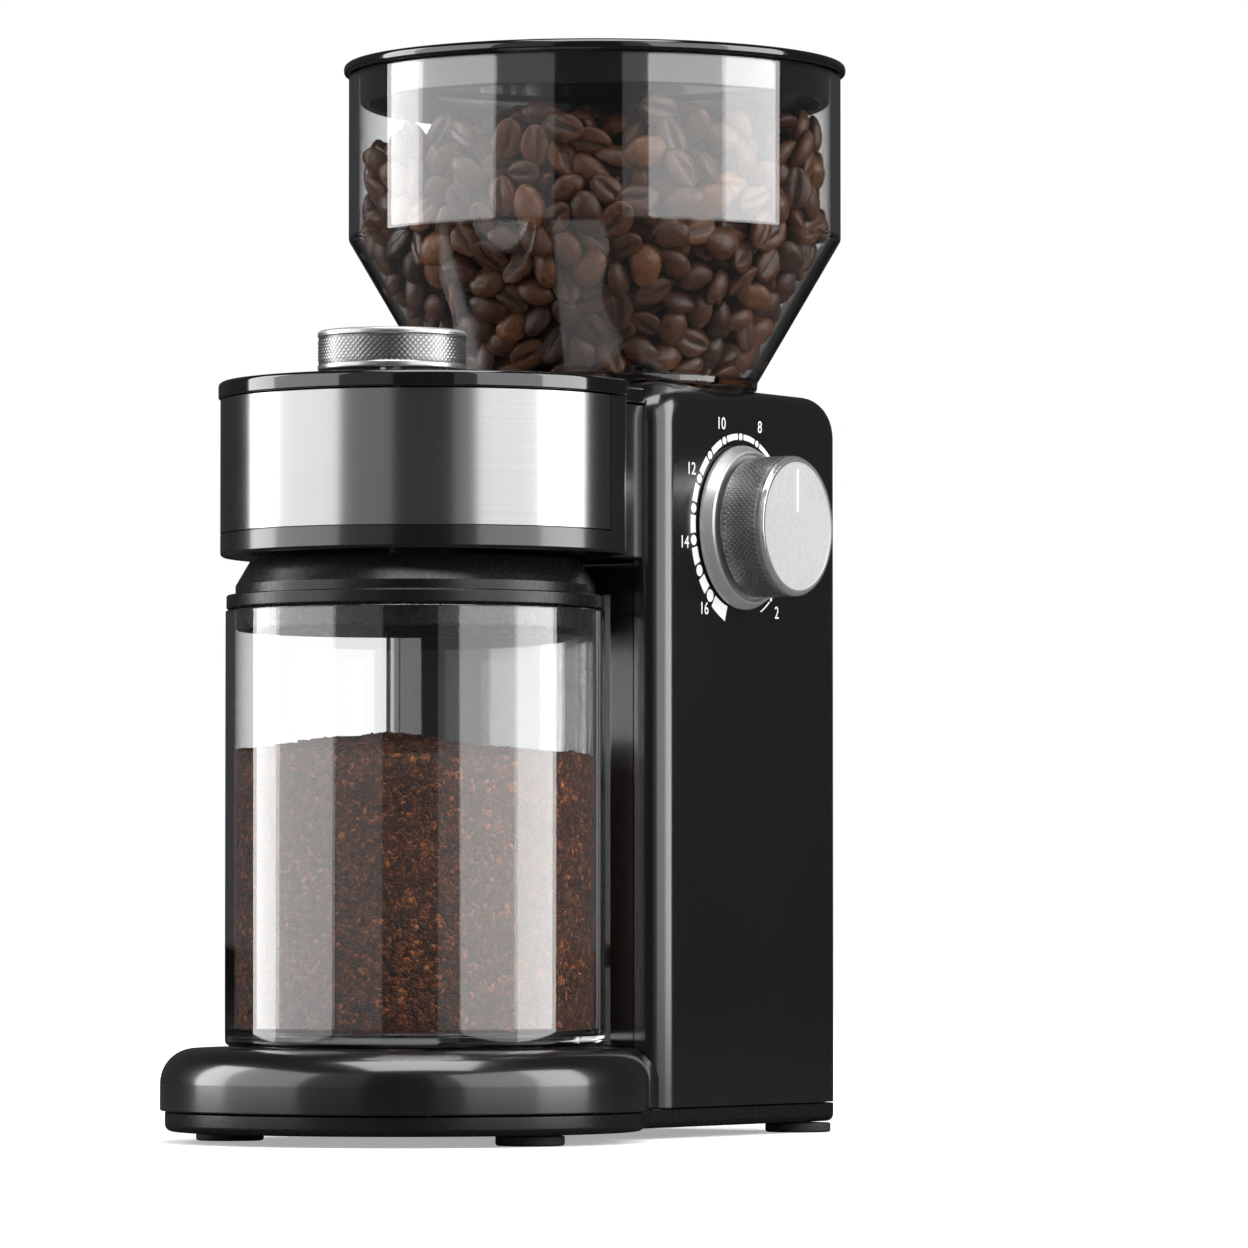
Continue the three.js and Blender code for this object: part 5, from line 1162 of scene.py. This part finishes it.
def make_grounds():
    """Ground coffee: a mound with a grainy top, and loose grains on it and along the wall."""
    rng = np.random.default_rng(11)
    r = JAR_R - JAR_WALL - FILL_GAP
    low = JAR_LOW.z + JAR_FLOOR + FILL_GAP
    rings, sides = 46, 200
    bm = bmesh.new()
    grid = []
    for j in range(rings + 1):
        share = j / rings
        row = []
        for i in range(sides):
            a = 2 * math.pi * i / sides
            x, y = r * share * math.cos(a), r * share * math.sin(a)
            z = GROUNDS_LEVEL + mound(x, y, r) + float(rng.normal(0, 0.22 * MM))
            row.append(bm.verts.new((x, y, z)))
            if j == 0:
                break
        grid.append(row)
    for i in range(sides):
        bm.faces.new([grid[0][0], grid[1][i], grid[1][(i + 1) % sides]])
    for inner, outer in zip(grid[1:], grid[2:]):
        for i in range(sides):
            k = (i + 1) % sides
            bm.faces.new([inner[i], outer[i], outer[k], inner[k]])
    above = grid[-1]
    for share, width in ((0.85, 1), (0.6, 1), (0.35, 1), (0.12, 1), (0.03, 1), (0, 0.96)):
        ring = [bm.verts.new((v.co.x * width, v.co.y * width, low + (v.co.z - low) * share)) for v in grid[-1]]
        connect(bm, above, ring)
        above = ring
    bm.faces.new(above)
    heap = new_object("coffee_grounds", bm)
    heap.data.transform(Matrix.Translation((0, CONTAINER_Y, 0)))
    soften(heap, 180, weighted=False)
    dress(heap, "grounds", "grounds_container", "ground_coffee")
    scatter_grains(rng, r)


def connect(bm, upper, lower):
    """A wall of faces between two rings."""
    count = len(upper)
    for i in range(count):
        k = (i + 1) % count
        bm.faces.new([upper[i], lower[i], lower[k], upper[k]])


def mound(x, y, r):
    """Height of the heap over its level at the wall: a low cone, pushed a little to the left."""
    d = math.hypot(x + 0.16 * r, y + 0.1 * r) / r
    smooth = max(0.0, 1 - d / 1.05)
    roll = 0.5 * MM * math.sin(x * 160 + 1.3) * math.cos(y * 190)
    return GROUNDS_MOUND * smooth ** 1.1 + roll


def scatter_grains(rng, r):
    """Loose curled grains: short bent slivers over the heap's top."""
    bm = bmesh.new()
    for _ in range(2600):
        a = rng.uniform(0, 2 * math.pi)
        d = r * math.sqrt(rng.uniform(0, 1)) * 0.985
        x, y = d * math.cos(a), d * math.sin(a)
        z = GROUNDS_LEVEL + mound(x, y, r) + rng.uniform(-0.1, 0.45) * MM
        size = rng.uniform(0.35, 0.8) * MM
        grain = bmesh.ops.create_icosphere(bm, subdivisions=1, radius=1)["verts"]
        long = rng.uniform(1.0, 2.1)
        turn = Matrix.Rotation(rng.uniform(0, 6.28), 4, "Z") @ Matrix.Rotation(rng.uniform(-0.7, 0.7), 4, "X")
        shape = Matrix.Diagonal((size * long, size * 0.55, size * 0.5, 1))
        if math.hypot(x, y) + size * long > r:
            pull = (r - size * long) / math.hypot(x, y)
            x, y = x * pull, y * pull
        bmesh.ops.transform(bm, verts=grain, matrix=Matrix.Translation((x, CONTAINER_Y + y, z)) @ turn @ shape)
    grains = as_object("loose_grounds", bm)
    soften(dress(grains, "grounds", "grounds_container", "ground_coffee"), 60, weighted=False)


# ---------------------------------------------------------------- coffee beans

BEAN_LONG = 5.3 * MM  # half lengths of a bean of middle size
BEAN_WIDE = 3.9 * MM
BEAN_THICK = 2.9 * MM
BEAN_REACH = 3.85 * MM  # radius that stands for a bean while the heap is packed
BEAN_COUNT = 1750
BEAN_FLOOR = 179.5 * MM
BEAN_LEVEL = 253.5 * MM
SHOWN_DEPTH = 12.5 * MM  # beans deeper than this from the wall or the top aren't seen


def bean_level(x, y):
    """Height of the heap's top: higher towards the right and the back."""
    return BEAN_LEVEL + 0.055 * x + 0.03 * y + 1.2 * MM * math.sin(90 * x + 1) * math.cos(80 * y)


def pack_beans(rng):
    """Bean centres: random points in the hopper, pushed apart and in from the wall."""
    count = BEAN_COUNT
    points = []
    while len(points) < count:
        x, y = rng.uniform(-HOPPER_R, HOPPER_R, 2)
        z = rng.uniform(190 * MM, BEAN_LEVEL + 6 * MM)
        if math.hypot(x, y) < hopper_inside(z) - BEAN_REACH and z < bean_level(x, y) - BEAN_REACH * 0.4:
            points.append((x, y, z))
    centres = np.array(points)
    for step in range(46):
        centres[:, 2] -= 0.15 * MM if step < 30 else 0.0
        gap = centres[:, None, :] - centres[None, :, :]
        distance = np.sqrt((gap ** 2).sum(axis=2)) + np.eye(count)
        overlap = np.clip(2 * BEAN_REACH - distance, 0, None) * (1 - np.eye(count))
        push = (gap / distance[:, :, None] * (overlap * 0.35)[:, :, None]).sum(axis=1)
        centres += np.clip(push, -MM, MM)
        centres = keep_inside(centres)
    return centres


def keep_inside(centres):
    """Moves the centres in from the hopper's wall and up from its foot."""
    radius = np.hypot(centres[:, 0], centres[:, 1])
    limit = np.array([hopper_inside(z) for z in centres[:, 2]]) - BEAN_REACH
    limit = np.where(centres[:, 2] < FLANGE_TOP, SPIGOT_IN - BEAN_REACH, limit)
    over = radius > limit
    scale = np.where(over, limit / np.maximum(radius, 1e-9), 1.0)
    centres[:, :2] *= scale[:, None]
    centres[:, 2] = np.maximum(centres[:, 2], BEAN_FLOOR + BEAN_REACH)
    return centres


def bean_template():
    """Unit bean: points, faces and how deep each point is in the crease of the flat side."""
    rows, sides = 17, 28
    points, crease = [], []
    for j in range(rows + 1):
        polar = math.pi * j / rows
        for i in range(sides if 0 < j < rows else 1):
            a = 2 * math.pi * i / sides
            x = math.cos(polar)
            y = math.sin(polar) * math.cos(a)
            z = math.sin(polar) * math.sin(a)
            groove = 0.0
            if z < 0:
                bend = 0.10 * math.sin(2.4 * x)
                groove = math.exp(-((y - bend) / 0.13) ** 2) * (1 - abs(x) ** 4)
                z = 0.50 * z + 0.46 * groove * max(0.0, 1 - abs(x) ** 3)
            else:
                z = z * (1 - 0.06 * x * x)
            points.append((x, y * (1 - 0.05 * abs(x)), z))
            # The crease mask, which the bean material uses for painted shade.
            crease.append(max(0.0, min(1.0, groove * 1.3 - 0.25)))
    faces = []
    start = 1
    for i in range(sides):
        faces.append((0, start + i, start + (i + 1) % sides))
    for j in range(1, rows - 1):
        lower, upper = start + (j - 1) * sides, start + j * sides
        for i in range(sides):
            k = (i + 1) % sides
            faces.append((lower + i, upper + i, upper + k, lower + k))
    last = start + (rows - 1) * sides
    for i in range(sides):
        faces.append((last, last - sides + (i + 1) % sides, last - sides + i))
    return np.array(points), faces, np.array(crease)


def irregular(points, phases):
    """The unit bean, bent and dented a little, so that no two are alike."""
    x, y, z = points.T
    bend = 0.10 * math.sin(phases[0]) * x * x
    dent = 1 + 0.05 * np.sin(3.1 * x + phases[1]) * np.cos(2.6 * y + phases[2])
    taper = 1 + 0.09 * math.sin(phases[3]) * x
    return np.stack([x, (y * taper + bend) * dent, z * taper * dent], axis=1)


def random_turn(rng):
    """A random rotation matrix."""
    q = rng.normal(size=4)
    w, x, y, z = q / np.linalg.norm(q)
    return np.array([[1 - 2 * (y * y + z * z), 2 * (x * y - z * w), 2 * (x * z + y * w)],
                     [2 * (x * y + z * w), 1 - 2 * (x * x + z * z), 2 * (y * z - x * w)],
                     [2 * (x * z - y * w), 2 * (y * z + x * w), 1 - 2 * (x * x + y * y)]])


def make_beans():
    rng = np.random.default_rng(5)
    centres = pack_beans(rng)
    template, faces, crease = bean_template()
    all_points, all_faces, tones, creases = [], [], [], []
    for centre in centres:
        radius = math.hypot(centre[0], centre[1])
        room = hopper_inside(centre[2]) - radius
        depth = bean_level(centre[0], centre[1]) - centre[2]
        sizes = np.array([BEAN_LONG, BEAN_WIDE, BEAN_THICK]) * rng.uniform(0.86, 1.08)
        turns = [random_turn(rng) for _ in range(9)]
        tone = float(np.clip(rng.beta(2.0, 3.2), 0, 1))
        phases = rng.uniform(0, 2 * math.pi, 4)
        if min(room, depth) > SHOWN_DEPTH:
            continue
        outward = np.array([centre[0], centre[1], 0]) / max(radius, 1e-9)
        outward = outward * math.cos(0.3) + np.array([0, 0, -math.sin(0.3)])
        reach = [np.linalg.norm(sizes * (turn.T @ outward)) for turn in turns]
        turn = turns[int(np.argmin(reach))] if room < 7 * MM else turns[0]
        extent = np.linalg.norm(sizes * (turn.T @ outward))
        inward = max(0.0, extent + 0.3 * MM - room * 0.95)
        place = centre - outward * inward
        first = len(all_points) * len(template)
        shape = irregular(template, phases) * sizes
        all_points.append(shape @ turn.T + place + np.array([0, HOPPER_Y, 0]))
        all_faces.extend(tuple(first + k for k in face) for face in faces)
        tones.append(np.full(len(template), tone))
        creases.append(crease)
    mesh = bpy.data.meshes.new("coffee_beans")
    mesh.from_pydata(np.concatenate(all_points).tolist(), [], all_faces)
    for name, values in (("bean_tone", tones), ("crease", creases)):
        layer = mesh.attributes.new(name, "FLOAT", "POINT")
        layer.data.foreach_set("value", np.concatenate(values).astype(np.float32))
    mesh.shade_smooth()
    dress(placed("coffee_beans", mesh), "beans", "hopper", "coffee_beans")
    make_bean_core()


def make_bean_core():
    """Stands for the beans deep in the hopper, behind those that show."""
    gap = 9 * MM
    top = BEAN_LEVEL - gap
    profile = [(0, 192 * MM), (hopper_inside(192 * MM) - gap, 192 * MM)]
    for z in np.linspace(196 * MM, top, 8):
        profile.append((hopper_inside(float(z)) - gap, float(z)))
    profile.append((0, top))
    core = lathe("bean_core", profile, 48, (0, HOPPER_Y, 0))
    soften(core, 60)
    core.data.attributes.new("bean_tone", "FLOAT", "POINT")
    core.data.attributes.new("crease", "FLOAT", "POINT")
    dress(core, "beans", "hopper", "coffee_beans")


# ---------------------------------------------------------------- inner CAD pieces keep their shape

INNER = {
    "zinc": ("tray_screw_front_left", "tray_screw_front_right", "tray_screw_rear_left", "tray_screw_rear_right",
             "board_screw_left", "board_screw_right", "selector_shaft", "dial_stem", "burr_shaft", "gear_plate",
             "idler_pin", "motor_can", "motor_end_drive", "motor_end_rear", "motor_shaft", "motor_pinion"),
    "burr": ("inner_burr", "outer_burr", "bean_auger", "burr_bearing_inner", "burr_bearing_outer"),
    "grey": ("grounds_chute", "selector_encoder", "start_switch", "interlock_plunger", "interlock_switch",
             "burr_housing", "burr_housing_cover", "burr_carrier"),
    "nylon": ("start_collar", "grounds_impeller", "driven_gear", "idler_gear", "cooling_fan"),
    "board": ("control_board",),
    "iron": ("rotor_core",),
    "magnet": ("motor_magnet_upper", "motor_magnet_lower"),
}


def dress_inner():
    """Gives the pieces inside the housing their materials."""
    for material, names in INNER.items():
        for name in names:
            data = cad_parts[name].data
            data.materials.clear()
            data.materials.append(MATERIALS[material])


make_base()
make_column()
make_rear()
make_collar()
make_head()
make_selector()
make_dial()
make_print()
make_hopper()
make_container()
make_grounds()
make_beans()
dress_inner()
